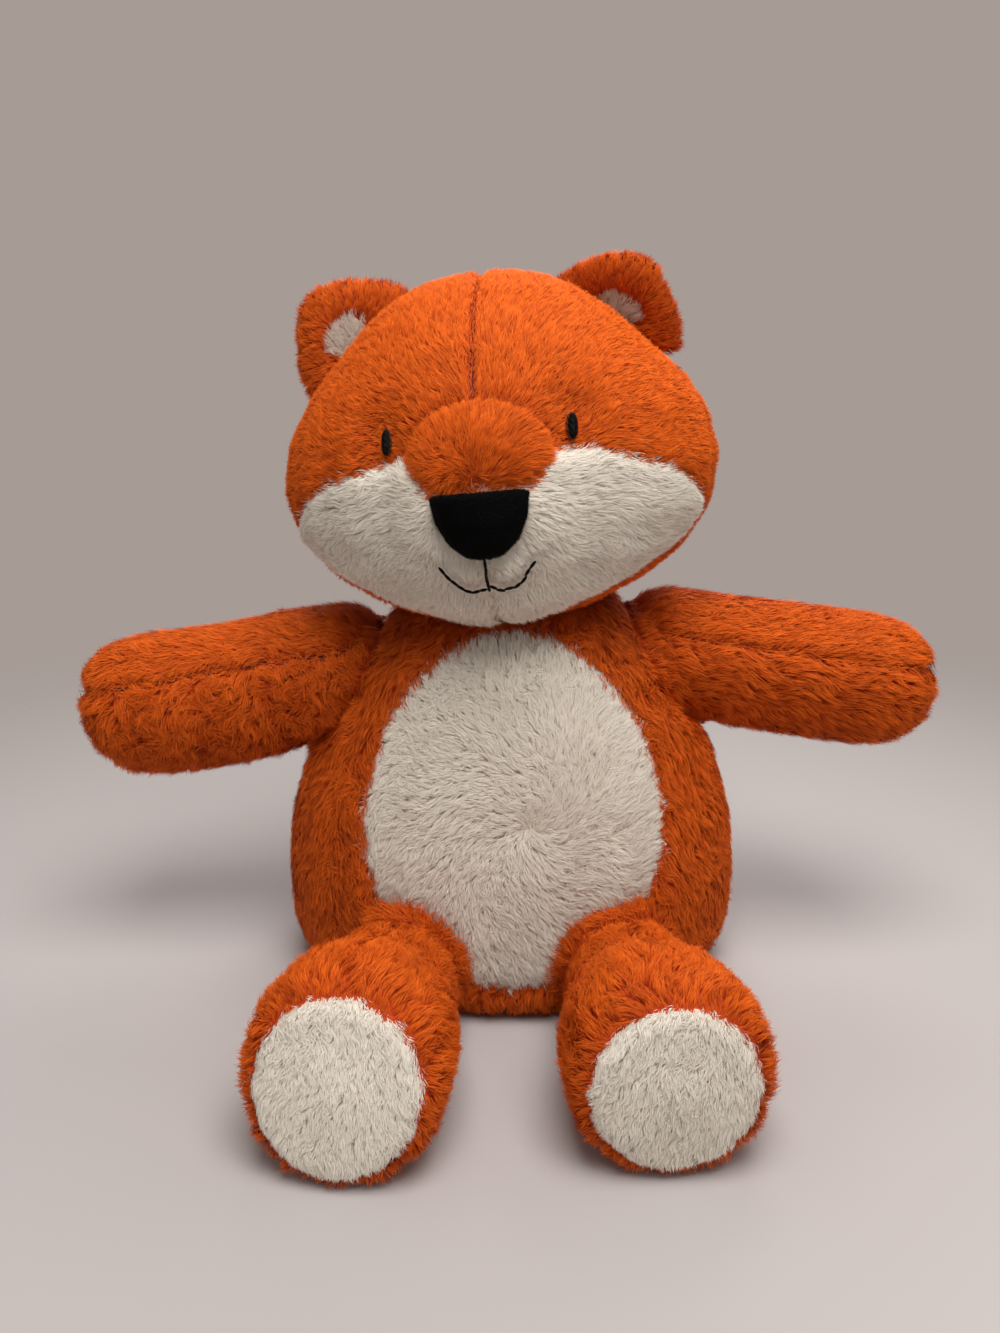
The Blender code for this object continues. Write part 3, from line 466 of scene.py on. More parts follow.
def nearest(co, nodes, reach=0.05):
    """The distance from each point to each node, and the node's nearest place, as arrays of points by nodes."""
    gap = np.full((len(co), len(nodes)), reach)
    place = np.repeat(co[:, None, :], len(nodes), axis=1)
    for column, node in enumerate(nodes):
        tree = tree_of(node)
        for row, point in enumerate(co):
            found = tree.find_nearest(point, reach)
            if found[0] is not None:
                place[row, column], gap[row, column] = found[0], found[3]
    return gap, place


def unit(vectors):
    return vectors / np.maximum(np.linalg.norm(vectors, axis=-1, keepdims=True), 1e-9)


def other_panels(body):
    """The panels of the bodies that this one can touch."""
    near = {
        "body": ("head", "arm_left", "arm_right", "leg_left", "leg_right", "tail"),
        "head": ("body", "ear_left", "ear_right"),
    }
    others = near.get(body, ("head",) if body.startswith("ear") else ("body",))
    return [panel for other in others for panel in PANELS[other]]


def inflated(mesh, pinned, sizes):
    """The shell after a cloth simulation in which the stuffing presses on the panels between their pinned seams."""
    obj = new_object(mesh.name, mesh)
    group = obj.vertex_groups.new(name="seams")
    group.add([int(i) for i in np.flatnonzero(pinned)], 1.0, "REPLACE")
    cloth = obj.modifiers.new("stuffing", "CLOTH")
    cloth.settings.use_pressure = True
    cloth.settings.uniform_pressure_force = sizes.pressure
    cloth.settings.vertex_group_mass = "seams"
    cloth.settings.effector_weights.gravity = 0
    cloth.collision_settings.use_collision = False
    cloth.point_cache.frame_end = sizes.frames
    scene = bpy.context.scene
    for step in range(1, sizes.frames + 1):
        scene.frame_set(step)
    graph = bpy.context.evaluated_depsgraph_get()
    moved = points_of(obj.evaluated_get(graph).data)
    scene.frame_set(1)
    obj.modifiers.clear()
    bpy.data.objects.remove(obj)
    start = points_of(mesh)
    step = moved - start
    length = np.maximum(np.linalg.norm(step, axis=1, keepdims=True), 1e-9)
    return start + step * np.minimum(1, sizes.swell / length)


class Skin:
    """A stuffed body's cloth: its mesh, and what the pile needs to know at each point of it."""

    def __init__(self, body, cell):
        sizes = bpy.context.scene.fox_skin
        panels = PANELS[body]
        self.filling = [node for node in (body + "_stuffing",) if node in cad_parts]
        inside = ["seat_bean_pouch"] if body == "body" else []
        mesh = fused("cloth_" + body, [*panels, *self.filling, *inside], cell, CLOTH_ROUNDS)
        co = points_of(mesh)
        self.room = nearest(co, other_panels(body), sizes.reach)[0].min(axis=1)
        trim = nearest(co, FACE_NODES, sizes.reach)[0].min(axis=1) if body == "head" else sizes.reach
        risen = np.clip((np.minimum(self.room, trim) - sizes.joint_start) / sizes.joint_rise, 0, 1)
        puff = sizes.ear_puff if body.startswith("ear") else sizes.puff
        co = co + normals_of(mesh) * (risen * (sizes.inset + puff) - sizes.inset)[:, None]
        set_points(mesh, co)
        gap, place = nearest(co, panels)
        first, second = np.argsort(gap, axis=1)[:, :2].T
        rows = np.arange(len(co))
        white = np.array([panel in WHITE_PANELS for panel in panels])
        self.panel = first
        self.seam = np.sqrt(np.maximum(gap[rows, second] ** 2 - gap[rows, first] ** 2, 0))
        self.alike = white[first] == white[second]
        self.apart = unit(co - place[rows, second])
        pinned = (self.seam < cell) | (self.room < cell * HELD_CELLS)
        co = inflated(mesh, pinned, sizes)
        dip = sizes.seam_depth * np.exp(-(self.seam / sizes.seam_width) ** 2)
        if body.startswith("ear"):
            dip = -sizes.ear_lining * white[first] * np.clip(self.seam / LINING_EDGE, 0, 1)
        set_points(mesh, co - normals_of(mesh) * dip[:, None])
        mesh.shade_smooth()
        self.mesh, self.body, self.panels = mesh, body, panels
        self.co, self.normal = points_of(mesh), normals_of(mesh)

    def finish(self):
        """The cloth as a piece, in the colours of its panels with a dark line of painted shade along some seams, in the
        place of its panels' solids.
        """
        mesh = self.mesh
        for name in ("orange_knit", "white_knit", "painted_seam_shade"):
            mesh.materials.append(material(name))
        white = np.array([panel in WHITE_PANELS for panel in self.panels])[self.panel]
        # Painted shade: along a seam between orange panels on the head and arms the cloth gets the dark seam finish
        at_seam = self.seam < bpy.context.scene.fox_skin.seam_line
        painted_seam_line = at_seam & self.alike & ~white & self.body.startswith(SEAM_SHADE_BODIES)
        for face in mesh.polygons:
            first = face.vertices[0]
            face.material_index = 2 if painted_seam_line[first] else int(white[first])
        strip(mesh)
        piece = new_object("cloth_" + self.body, mesh)
        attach(piece, self.body)
        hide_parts(*self.panels)
        for node in self.filling:
            self.fill(node)

    def fill(self, node):
        """The filling: a plainer shell that lies closely inside the cloth."""
        sizes = bpy.context.scene.fox_skin
        mesh = self.mesh.copy()
        set_points(mesh, points_of(mesh) - normals_of(mesh) * sizes.thickness)
        obj = new_object("filling", mesh)
        plainer = obj.modifiers.new("plainer", "DECIMATE")
        plainer.ratio = FILLING_SHARE
        mesh = evaluated(obj, "filling_" + self.body)
        mesh.materials.clear()
        mesh.materials.append(material("fibre"))
        piece = new_object("filling_" + self.body, mesh)
        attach(piece, self.body)
        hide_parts(node)


# ---- Pile

# How much tufts and strands differ in length, and how far a strand's flat side turns
TUFT_LENGTHS, STRAND_LENGTHS, FACE_TURN = 0.12, 0.16, 0.55
# How much of a strand's shade is its tuft's, and how much its own
TUFT_SHADE, STRAND_SHADE = 0.7, 0.3
# How a strand runs along its way near its root and near its tip
EARLY_RUN, LATE_RUN = 0.35, 0.65
# How far tufts differ in where their wave starts, how far it turns up to the tip, and how late a strand joins its tuft
WAVE_START, WAVE_TURN, JOINING = 3.0, 4.0, 1.5
# Share of the cloth's normal in a strand's
CLOTH_NORMAL = 0.8


def strand_template():
    """One flat strand of two faces. "along" runs from root to tip and "across" from edge to edge."""
    mesh = bpy.data.meshes.new("strand")
    mesh.from_pydata([(0, 0, 0)] * 4, [], [(0, 1, 2), (1, 3, 2)])
    mesh.attributes.new("along", "FLOAT", "POINT").data.foreach_set("value", (0, 0.5, 0.5, 1))
    mesh.attributes.new("across", "FLOAT", "POINT").data.foreach_set("value", (0, -0.5, 0.5, 0))
    return mesh


def pile_tree():
    """The node tree that grows combed, tufted strands from a piece of cloth."""
    tree = bpy.data.node_groups.new("Combed pile", "GeometryNodeTree")
    face = tree.interface
    face.new_socket("Cloth", in_out="INPUT", socket_type="NodeSocketGeometry")
    face.new_socket("Strand", in_out="INPUT", socket_type="NodeSocketObject")
    for name in (
        "Density", "Length", "Width", "Clump Gap", "Clump Pull", "Clump Spread", "Strand Spread", "Tilt Spread", "Wave",
        "Shade Spread", "Shade Level", "Floor",
    ):
        face.new_socket(name, in_out="INPUT", socket_type="NodeSocketFloat")
    face.new_socket("Seed", in_out="INPUT", socket_type="NodeSocketInt")
    face.new_socket("Finish", in_out="INPUT", socket_type="NodeSocketMaterial")
    face.new_socket("Pile", in_out="OUTPUT", socket_type="NodeSocketGeometry")
    given = add(tree, "NodeGroupInput").outputs

    def value(operation, *terms):
        return out(add(tree, "ShaderNodeMath", {"operation": operation}, dict(enumerate(terms))))

    def vector(operation, *terms, **named):
        return out(add(tree, "ShaderNodeVectorMath", {"operation": operation}, {**dict(enumerate(terms)), **named}))

    def read(name, kind="FLOAT_VECTOR"):
        return out(add(tree, "GeometryNodeInputNamedAttribute", {"data_type": kind}, {"Name": name}))

    def chance(seed, number=None):
        inputs = {"Min": (-1, -1, -1), "Max": (1, 1, 1), "Seed": value("ADD", given["Seed"], seed)}
        if number is not None:
            inputs["ID"] = number
        return out(add(tree, "FunctionNodeRandomValue", {"data_type": "FLOAT_VECTOR"}, inputs))

    def split(source):
        return add(tree, "ShaderNodeSeparateXYZ", None, {0: source}).outputs

    # Roots of the strands, and the middles of the tufts
    density = value("MULTIPLY", given["Density"], read("fullness", "FLOAT"))
    roots = add(tree, "GeometryNodeDistributePointsOnFaces", None,
                {"Mesh": given["Cloth"], "Density": density, "Seed": given["Seed"]})
    per_area = value("DIVIDE", 1.0, value("MULTIPLY", given["Clump Gap"], given["Clump Gap"]))
    tufts = add(tree, "GeometryNodeDistributePointsOnFaces", None,
                {"Mesh": given["Cloth"], "Density": per_area, "Seed": value("ADD", given["Seed"], 11)})
    middles = out(tufts, "Points")
    place = out(add(tree, "GeometryNodeInputPosition"))
    number = out(add(tree, "GeometryNodeSampleNearest", None, {"Geometry": middles}))
    middle = out(add(tree, "GeometryNodeSampleIndex", {"data_type": "FLOAT_VECTOR"},
                     {"Geometry": middles, "Value": place, "Index": number}))
    # Each strand's own way over the cloth, length and shade
    upward = out(roots, "Normal")
    of_tuft, of_strand = chance(1, number), chance(2)
    way = vector("ADD", read("comb"), vector("SCALE", of_tuft, Scale=given["Clump Spread"]))
    way = vector("ADD", way, vector("SCALE", of_strand, Scale=given["Strand Spread"]))
    way = vector("SUBTRACT", way, vector("SCALE", upward, Scale=vector("DOT_PRODUCT", way, upward)))
    way = vector("NORMALIZE", way)
    tuft_x, strand_x = split(of_tuft), split(of_strand)
    raised = vector("SCALE", upward, Scale=value("MULTIPLY_ADD", split(chance(3))["X"], given["Tilt Spread"], 1.0))
    length = value("MULTIPLY_ADD", strand_x["X"], STRAND_LENGTHS, 1.0)
    length = value("MULTIPLY_ADD", tuft_x["X"], TUFT_LENGTHS, length)
    length = value("MULTIPLY", length, value("MULTIPLY", given["Length"], read("pile", "FLOAT")))
    turned = vector("SCALE", upward, Scale=value("MULTIPLY", strand_x["Y"], FACE_TURN))
    edge = vector("NORMALIZE", vector("ADD", vector("CROSS_PRODUCT", upward, way), turned))
    # A strand's shade is random by tuft and by strand: partly the pile's own random tone, and partly painted shade
    # between tufts through the mix toward the deep colour
    shade = value("ADD", value("MULTIPLY", tuft_x["Y"], TUFT_SHADE), value("MULTIPLY", strand_x["Z"], STRAND_SHADE))
    shade = value("MULTIPLY_ADD", shade, given["Shade Spread"], given["Shade Level"])
    shade = value("MINIMUM", value("MAXIMUM", shade, 0.02), 0.98)
    pull = vector("SCALE", vector("SUBTRACT", middle, place), Scale=given["Clump Pull"])
    points = out(roots, "Points")
    for name, kind, source in (
        ("upward", "FLOAT_VECTOR", raised), ("way", "FLOAT_VECTOR", way), ("edge", "FLOAT_VECTOR", edge),
        ("pull", "FLOAT_VECTOR", pull), ("length", "FLOAT", length), ("shade", "FLOAT", shade),
        ("phase", "FLOAT", tuft_x["Z"]),
    ):
        points = out(add(tree, "GeometryNodeStoreNamedAttribute", {"data_type": kind},
                         {"Geometry": points, "Name": name, "Value": source}))
    strand = out(add(tree, "GeometryNodeObjectInfo", None, {"Object": given["Strand"]}), "Geometry")
    strands = out(add(tree, "GeometryNodeInstanceOnPoints", None, {"Points": points, "Instance": strand}))
    pile = out(add(tree, "GeometryNodeRealizeInstances", None, {0: strands}))
    # The curve of a strand: it rises, leans over along its way, waves sideways and closes on its tuft
    along, across = read("along", "FLOAT"), read("across", "FLOAT")
    lean, square = read("lean", "FLOAT"), value("MULTIPLY", along, along)
    rise = value("SUBTRACT", along, value("MULTIPLY", value("MULTIPLY", lean, 0.5), square))
    run = value("ADD", value("MULTIPLY", along, EARLY_RUN), value("MULTIPLY", square, LATE_RUN))
    run = value("MULTIPLY", lean, run)
    step = vector("ADD", vector("SCALE", read("upward"), Scale=rise), vector("SCALE", read("way"), Scale=run))
    step = vector("SCALE", step, Scale=read("length", "FLOAT"))
    turn = value("MULTIPLY_ADD", read("phase", "FLOAT"), WAVE_START, value("MULTIPLY", along, WAVE_TURN))
    swing = value("SINE", turn)
    swing = value("MULTIPLY", value("MULTIPLY", swing, square), given["Wave"])
    wide = value("MULTIPLY_ADD", across, given["Width"], swing)
    step = vector("ADD", step, vector("SCALE", read("edge"), Scale=wide))
    step = vector("ADD", step, vector("SCALE", read("pull"), Scale=value("POWER", along, JOINING)))
    pile = out(add(tree, "GeometryNodeSetPosition", None, {"Geometry": pile, "Offset": step}))
    # No strand goes through the floor. Sideways the limit lies 10 m away
    lowest = out(add(tree, "ShaderNodeCombineXYZ", None, {0: -10.0, 1: -10.0, 2: given["Floor"]}))
    above = vector("MAXIMUM", place, lowest)
    pile = out(add(tree, "GeometryNodeSetPosition", None, {"Geometry": pile, "Position": above}))
    # Soft shading: a strand is lit mostly like the cloth that it grows from
    own = out(add(tree, "GeometryNodeInputNormal"))
    soft = vector("NORMALIZE", vector("ADD", vector("SCALE", read("upward"), Scale=CLOTH_NORMAL), own))
    pile = out(add(tree, "GeometryNodeSetShadeSmooth", None, {0: pile}))
    pile = out(add(tree, "GeometryNodeSetMeshNormal", {"mode": "FREE", "domain": "POINT"},
                   {"Mesh": pile, "Custom Normal": soft}))
    where = out(add(tree, "ShaderNodeCombineXYZ", None, {0: along, 1: read("shade", "FLOAT")}))
    pile = out(add(tree, "GeometryNodeStoreNamedAttribute", {"data_type": "FLOAT2", "domain": "CORNER"},
                   {"Geometry": pile, "Name": "OFBake", "Value": where}))
    for name in ("upward", "way", "edge", "pull", "length", "shade", "phase", "along", "across", *PILE_FIELDS):
        pile = out(add(tree, "GeometryNodeRemoveAttribute", None, {"Geometry": pile, "Name": name}))
    pile = out(add(tree, "GeometryNodeSetMaterial", None, {"Geometry": pile, "Material": given["Finish"]}))
    add(tree, "NodeGroupOutput", None, {0: pile})
    return tree


def worked(obj, name, tree, values):
    """The object's mesh after a node tree with these inputs, under a new name. The object itself goes."""
    modifier = obj.modifiers.new("nodes", "NODES")
    modifier.node_group = tree
    for item in tree.interface.items_tree:
        if item.in_out == "INPUT" and item.name in values:
            modifier[item.identifier] = values[item.name]
    return evaluated(obj, name)


def grown(name, cloth, finish, changes=None):
    """The pile of a piece of cloth, as a plain mesh."""
    sizes = bpy.context.scene.fox_pile
    tree = bpy.data.node_groups.get("Combed pile") or pile_tree()
    strand = new_object("strand", strand_template())
    obj = new_object(name, cloth.copy())
    values = {
        "Strand": strand, "Density": sizes.density * PER_SQUARE_MM, "Length": 1.0, "Width": sizes.width,
        "Clump Gap": sizes.clump_gap, "Clump Pull": sizes.clump_pull, "Clump Spread": sizes.clump_spread,
        "Strand Spread": sizes.strand_spread, "Tilt Spread": sizes.tilt_spread, "Wave": sizes.wave,
        "Shade Spread": sizes.shade_spread, "Shade Level": 0.5,
        "Floor": sizes.floor_gap, "Seed": sizes.seed, "Finish": finish,
    }
    values.update(changes or {})
    mesh = worked(obj, name, tree, values)
    bpy.data.objects.remove(strand)
    return mesh


def along(*direction):
    """A rule that combs the pile the same way everywhere."""
    return lambda co: np.tile(np.array(direction, float), (len(co), 1))


def whorl(x, y, z, turn):
    """A rule that combs the pile away from a point and somewhat round it, as seen from the front."""
    def rule(co):
        way = away_from(x, y, z)(co)
        return way + turn * np.cross((0, -1.0, 0), way)
    return rule


def away_from(x, y, z, *drift):
    """A rule that combs the pile away from a point given in millimetres, with a drift added to that way."""
    def rule(co):
        way = unit(co - np.array((x, y, z)) / 1000)
        return way + (np.array(drift, float) if drift else 0)
    return rule


# Waves and ripples that hands left in the pile: their lengths in metres, and where they start on each axis
WAVE_LENGTH, WAVE_STARTS = 0.021, (0.4, 1.7, 2.9)
RIPPLE_LENGTH, RIPPLE_STARTS, RIPPLE_SHARE = 0.009, (2.1, 0.3, 1.1), 0.6


def stroked(co, way, curl):
    """A comb with waves and ripples in it, left by hands that stroked the pile."""
    waves = np.sin(co[:, (1, 2, 0)] * (math.tau / WAVE_LENGTH) + WAVE_STARTS)
    ripples = np.sin(co[:, (2, 0, 1)] * (math.tau / RIPPLE_LENGTH) + RIPPLE_STARTS)
    return unit(way) + bpy.context.scene.fox_pile.stroke * curl * (waves + RIPPLE_SHARE * ripples)


# Each panel's pile: length in millimetres, lean, share of the usual density, curl, and the way that it is combed
PILE = {
    "body_front_panel": (4.2, 1.05, 0.51, 2.0, away_from(0, 0, 95, 0, 0, -1.2)),
    "belly_panel": (2.9, 1.08, 0.9, 1.5, whorl(3.6, -50, 60, 0.7)),
    "body_back_left_panel": (4.2, 1.05, 0.4, 1.6, along(0.15, 0, -1)),
    "body_back_right_panel": (4.2, 1.05, 0.4, 1.6, along(-0.15, 0, -1)),
    "crown_left_panel": (3.2, 1.08, 0.87, 0.9, away_from(-6, -62, 158, 0, 0.4, 0)),
    "crown_right_panel": (3.2, 1.08, 0.87, 0.9, away_from(-6, -62, 158, 0, 0.4, 0)),
    "head_back_left_panel": (4.0, 1.08, 0.42, 1.2, along(0.1, 0.2, -1)),
    "head_back_right_panel": (4.0, 1.08, 0.42, 1.2, along(-0.1, 0.2, -1)),
    "muzzle_top_panel": (3.2, 1.05, 1.2, 0.9, away_from(-8, -70, 153)),
    "cheek_left_panel": (3.1, 1.08, 1.12, 1.0, away_from(-7, -70, 146, 0, 0, -0.2)),
    "cheek_right_panel": (3.1, 1.08, 1.12, 1.0, away_from(-7, -70, 146, 0, 0, -0.2)),
    "tail_base": (5.0, 1.0, 0.45, 1.6, along(0, 1, -0.15)),
    "tail_tip": (5.4, 1.0, 0.5, 1.6, along(0, 1, -0.1)),
}
# The middle of each ear's root, in millimetres
EAR_ROOTS = {"left": (29, -8, 190), "right": (-43.5, 0, 183)}
for side, sign in (("left", 1), ("right", -1)):
    PILE["arm_%s_upper_panel" % side] = (4.2, 1.05, 0.7, 1.3, along(sign, -0.15, 0.1))
    PILE["arm_%s_lower_panel" % side] = (4.6, 1.0, 0.55, 2.2, along(sign, -0.1, -0.7))
    PILE["leg_%s_inner_panel" % side] = (4.2, 1.05, 0.68, 1.8, away_from(sign * 37, -112, 26))
    PILE["leg_%s_outer_panel" % side] = (4.2, 1.05, 0.68, 1.8, away_from(sign * 37, -112, 26))
    PILE["leg_%s_sole_pad" % side] = (2.3, 1.1, 1.2, 1.1, away_from(sign * 38, -80, 32, 0, 0, -0.5))
    PILE["ear_%s_outer" % side] = (3.0, 1.0, 0.9, 1.2, away_from(*EAR_ROOTS[side]))
    PILE["ear_%s_inner" % side] = (3.6, 0.85, 1.6, 1.2, away_from(*EAR_ROOTS[side]))
# Panels whose pile stands up like a cuff beside a panel of the other colour, and those whose pile turns away from it
CUFFED = ("leg_left_inner_panel", "leg_left_outer_panel", "leg_right_inner_panel", "leg_right_outer_panel")
TURNED = ("ear_left_outer", "ear_right_outer")
# Pile's share of its length beside a joint, and what it loses at a seam between panels of one colour and of two
JOINT_LENGTH, LIKE_CROP, UNLIKE_CROP = 0.45, 0.5, 0.3
# The seat: cloth that faces down this squarely, this close to the floor
SEAT_FACING, SEAT_HEIGHT = -0.8, 0.004
# Share of the parting beside a panel of the other colour or in white pile
WEAK_PARTING = 0.3
# Distance between tufts, as shares of the clump gap: of straight pile, and what each step of curl adds
STRAIGHT_GAP, CURL_GAP = 0.7, 0.4
# Share of the clump pull in white pile
WHITE_PULL = 0.6


def dress(body, cell, thin=None):
    """Makes a body's cloth, and the pile of each of its panels, as pieces that ride on it."""
    skin = Skin(body, cell)
    sizes, pile = bpy.context.scene.fox_skin, bpy.context.scene.fox_pile
    at_seam = np.exp(-(skin.seam / sizes.seam_width) ** 2)
    clear = np.clip((skin.room - sizes.joint_room) / sizes.joint_fade, 0, 1)
    full = np.where(skin.room < sizes.joint_room, 0.0, 1.0)
    full[(skin.normal[:, 2] < SEAT_FACING) & (skin.co[:, 2] < SEAT_HEIGHT)] *= pile.seat_cover
    if body.startswith("ear"):
        clear[:] = 1
    short = JOINT_LENGTH + (1 - JOINT_LENGTH) * clear
    short = short * (1 - at_seam * np.where(skin.alike, LIKE_CROP, UNLIKE_CROP))
    wide = np.exp(-(skin.seam / pile.cuff_width) ** 2)
    cuff = 1 - pile.cuff * wide * ~skin.alike
    if thin:
        covered, cropped = thin(skin)
        full, short = full * covered, short * cropped
    for number, panel in enumerate(skin.panels):
        length, lean, thickness, curl, comb = PILE[panel]
        white = panel in WHITE_PANELS
        parting = np.where(skin.alike & (not white), pile.parting, WEAK_PARTING * pile.parting) * at_seam
        if panel in TURNED:
            parting = pile.parting * wide
        store(skin.mesh, "fullness", full * (skin.panel == number) * thickness)
        store(skin.mesh, "pile", short * length / 1000)
        store(skin.mesh, "lean", lean * (cuff if panel in CUFFED else np.ones(len(skin.co))))
        store(skin.mesh, "comb", stroked(skin.co, comb(skin.co), curl) + skin.apart * parting[:, None])
        finish = material("white_pile" if white else "orange_pile")
        mesh = grown("pile_" + panel, skin.mesh, finish, {
            "Width": pile.width / thickness ** 0.5, "Clump Spread": pile.clump_spread * curl,
            "Clump Gap": pile.clump_gap * (STRAIGHT_GAP + CURL_GAP * curl),
            # Painted shade: the more a panel's pile curls, the lower its shade level, so it is painted darker
            "Shade Level": 0.5 - pile.painted_curl_shade * (curl - 1),
            "Clump Pull": pile.clump_pull * (WHITE_PULL if white else 1.0),
        })
        piece = new_object("pile_" + panel, mesh)
        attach(piece, body)
        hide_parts(panel)
    skin.finish()


# The cloth across a joint rises out of the bodies over this depth, and ends where either is this far away
BRIDGE_RISE, BRIDGE_END = 0.0015, 0.02
# Beyond this distance from either, its pile is only as dense as the cloth is proud
BRIDGE_PILE_END = 0.01


def bridge(limb):
    """Cloth and pile that cross the joint between a limb and the body."""
    sizes = bpy.context.scene.fox_skin
    solids = [node for body in ("body", limb) for node in (*PANELS[body], body + "_stuffing")]
    mesh = fused("bridge_" + limb, solids, sizes.bridge_cell, BRIDGE_ROUNDS)
    co = points_of(mesh)
    to_body, to_limb = nearest(co, PANELS["body"])[0], nearest(co, PANELS[limb])[0]
    gaps = to_body.min(axis=1), to_limb.min(axis=1)
    proud = np.clip((np.minimum(*gaps) - sizes.bridge_proud) / BRIDGE_RISE, 0, 1)
    on_belly = to_body.argmin(axis=1) == PANELS["body"].index("belly_panel")
    spared = on_belly & (to_limb.min(axis=1) > sizes.bridge_belly)
    proud[spared | (np.maximum(*gaps) > BRIDGE_END)] = 0
    covered = np.where(spared | (np.maximum(*gaps) > BRIDGE_PILE_END), proud, 1.0)
    set_points(mesh, co + normals_of(mesh) * (proud * sizes.bridge_puff)[:, None])
    length, lean, thickness, curl, comb = PILE[PANELS[limb][0]]
    store(mesh, "fullness", covered * thickness)
    store(mesh, "pile", np.full(len(co), length / 1000))
    store(mesh, "lean", np.full(len(co), lean))
    store(mesh, "comb", stroked(co, comb(co), curl))
    cut_down(mesh, proud > 0)
    pile = new_object("pile_bridge_" + limb, grown("pile_bridge_" + limb, mesh, material("orange_pile")))
    strip(mesh)
    mesh.materials.append(material("orange_knit"))
    mesh.shade_smooth()
    for piece in (new_object("cloth_bridge_" + limb, mesh), pile):
        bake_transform(piece)
        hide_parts(PANELS[limb][0])


def cut_down(mesh, chosen):
    """Keeps the chosen points of a mesh and two rings of faces round them."""
    bm = bmesh.new()
    bm.from_mesh(mesh)
    kept = {vert for vert in bm.verts if chosen[vert.index]}
    for _ in range(2):
        kept |= {edge.other_vert(vert) for vert in kept for edge in vert.link_edges}
    bmesh.ops.delete(bm, geom=[vert for vert in bm.verts if vert not in kept], context="VERTS")
    bm.to_mesh(mesh)
    bm.free()


# ---- Operators

# Each lamp's name, place, width and power. All of them point at the fox's middle
LAMPS = (
    ("key_light", (0.06, -0.26, 0.62), 0.4, 4.2),
    ("fill_light", (0.5, -1.0, 0.6), 0.9, 0.8),
    ("back_light", (0.2, 0.9, 1.0), 0.9, 7.0),
)
LAMP_TARGET = (0, 0, 0.1)
# Shares of the floor's radius at which it starts to fade and is gone
FADE_START, FADE_END = 0.12, 0.4


class FOX_OT_stage(bpy.types.Operator):
    """Camera at the photograph's viewing angle, a pale floor and soft studio light"""
    bl_idname = "fox.stage"
    bl_label = "Camera and stage"

    def execute(self, context):
        s, c = context.scene.fox_stage, context.scene.fox_colours
        camera = bpy.data.objects.new("camera", bpy.data.cameras.new("camera"))
        context.scene.collection.objects.link(camera)
        camera.data.lens = s.lens
        camera.data.clip_start = 0.01
        camera.location = (s.side, -s.distance, s.height)
        camera.rotation_euler = (math.pi / 2 - s.pitch, 0, 0)
        context.scene.camera = camera
        bm = bmesh.new()
        bmesh.ops.create_circle(bm, cap_ends=True, segments=96, radius=s.floor_radius)
        mesh = bpy.data.meshes.new("floor")
        bm.to_mesh(mesh)
        bm.free()
        floor = new_object("floor", mesh)
        mesh.materials.append(self.floor_material(c, s))
        self.world(context.scene, c)
        for name, place, span, power in LAMPS:
            light = bpy.data.objects.new(name, bpy.data.lights.new(name, "AREA"))
            context.scene.collection.objects.link(light)
            light.data.size = span
            light.data.energy = power
            light.location = place
            light.rotation_euler = (Vector(LAMP_TARGET) - Vector(place)).to_track_quat("-Z", "Y").to_euler()
        context.scene.view_settings.view_transform = "Standard"
        return {"FINISHED"}

    def floor_material(self, colours, sizes):
        """Matt painted board. It fades into the wall's colour far from the fox."""
        made, tree, shader = surface_material("Matt painted board")
        shader.inputs["Base Color"].default_value = (*colours.floor, 1)
        shader.inputs["Roughness"].default_value = 0.8
        place = add(tree, "ShaderNodeTexCoord")
        reach = add(tree, "ShaderNodeVectorMath", {"operation": "LENGTH"}, {0: place.outputs["Object"]})
        fade = add(tree, "ShaderNodeMapRange", {"interpolation_type": "SMOOTHSTEP"},
                   {0: out(reach), 1: sizes.floor_radius * FADE_START, 2: sizes.floor_radius * FADE_END})
        clear = add(tree, "ShaderNodeBsdfTransparent")
        mixed = add(tree, "ShaderNodeMixShader", None, {0: out(fade), 1: shader.outputs["BSDF"], 2: out(clear)})
        output = next(n for n in tree.nodes if n.type == "OUTPUT_MATERIAL")
        tree.links.new(out(mixed), output.inputs["Surface"])
        return made

    def world(self, scene, colours):
        """Even soft light for the fox, and the wall's colour behind it."""
        world = bpy.data.worlds.new("studio")
        world.use_nodes = True
        tree = world.node_tree
        tree.nodes.clear()
        ray = add(tree, "ShaderNodeLightPath").outputs
        seen = add(tree, "ShaderNodeMath", {"operation": "MAXIMUM"}, {0: ray["Is Camera Ray"], 1: ray["Is Glossy Ray"]})
        seen = add(tree, "ShaderNodeMath", {"operation": "MAXIMUM"}, {0: out(seen), 1: ray["Is Transmission Ray"]})
        light = add(tree, "ShaderNodeBackground", None, {"Color": (1.0, 0.97, 0.94, 1), "Strength": 0.28})
        wall = add(tree, "ShaderNodeBackground", None, {"Color": (*colours.wall, 1), "Strength": 1.0})
        mixed = add(tree, "ShaderNodeMixShader", None, {0: out(seen), 1: out(light), 2: out(wall)})
        add(tree, "ShaderNodeOutputWorld", None, {"Surface": out(mixed)})
        scene.world = world


class FOX_OT_body(bpy.types.Operator):
    """Pear-shaped body with its white belly"""
    bl_idname = "fox.body"
    bl_label = "Body"

    def execute(self, context):
        dress("body", context.scene.fox_skin.body_cell)
        return {"FINISHED"}


# Beside the nose and the stitches: the width that is bare or cropped shortest, the width over which the pile then grows
# to its length, and the shortest pile's share of that length
TRIM_GAP, TRIM_FADE, TRIM_LENGTH = 0.0012, 0.004, 0.4


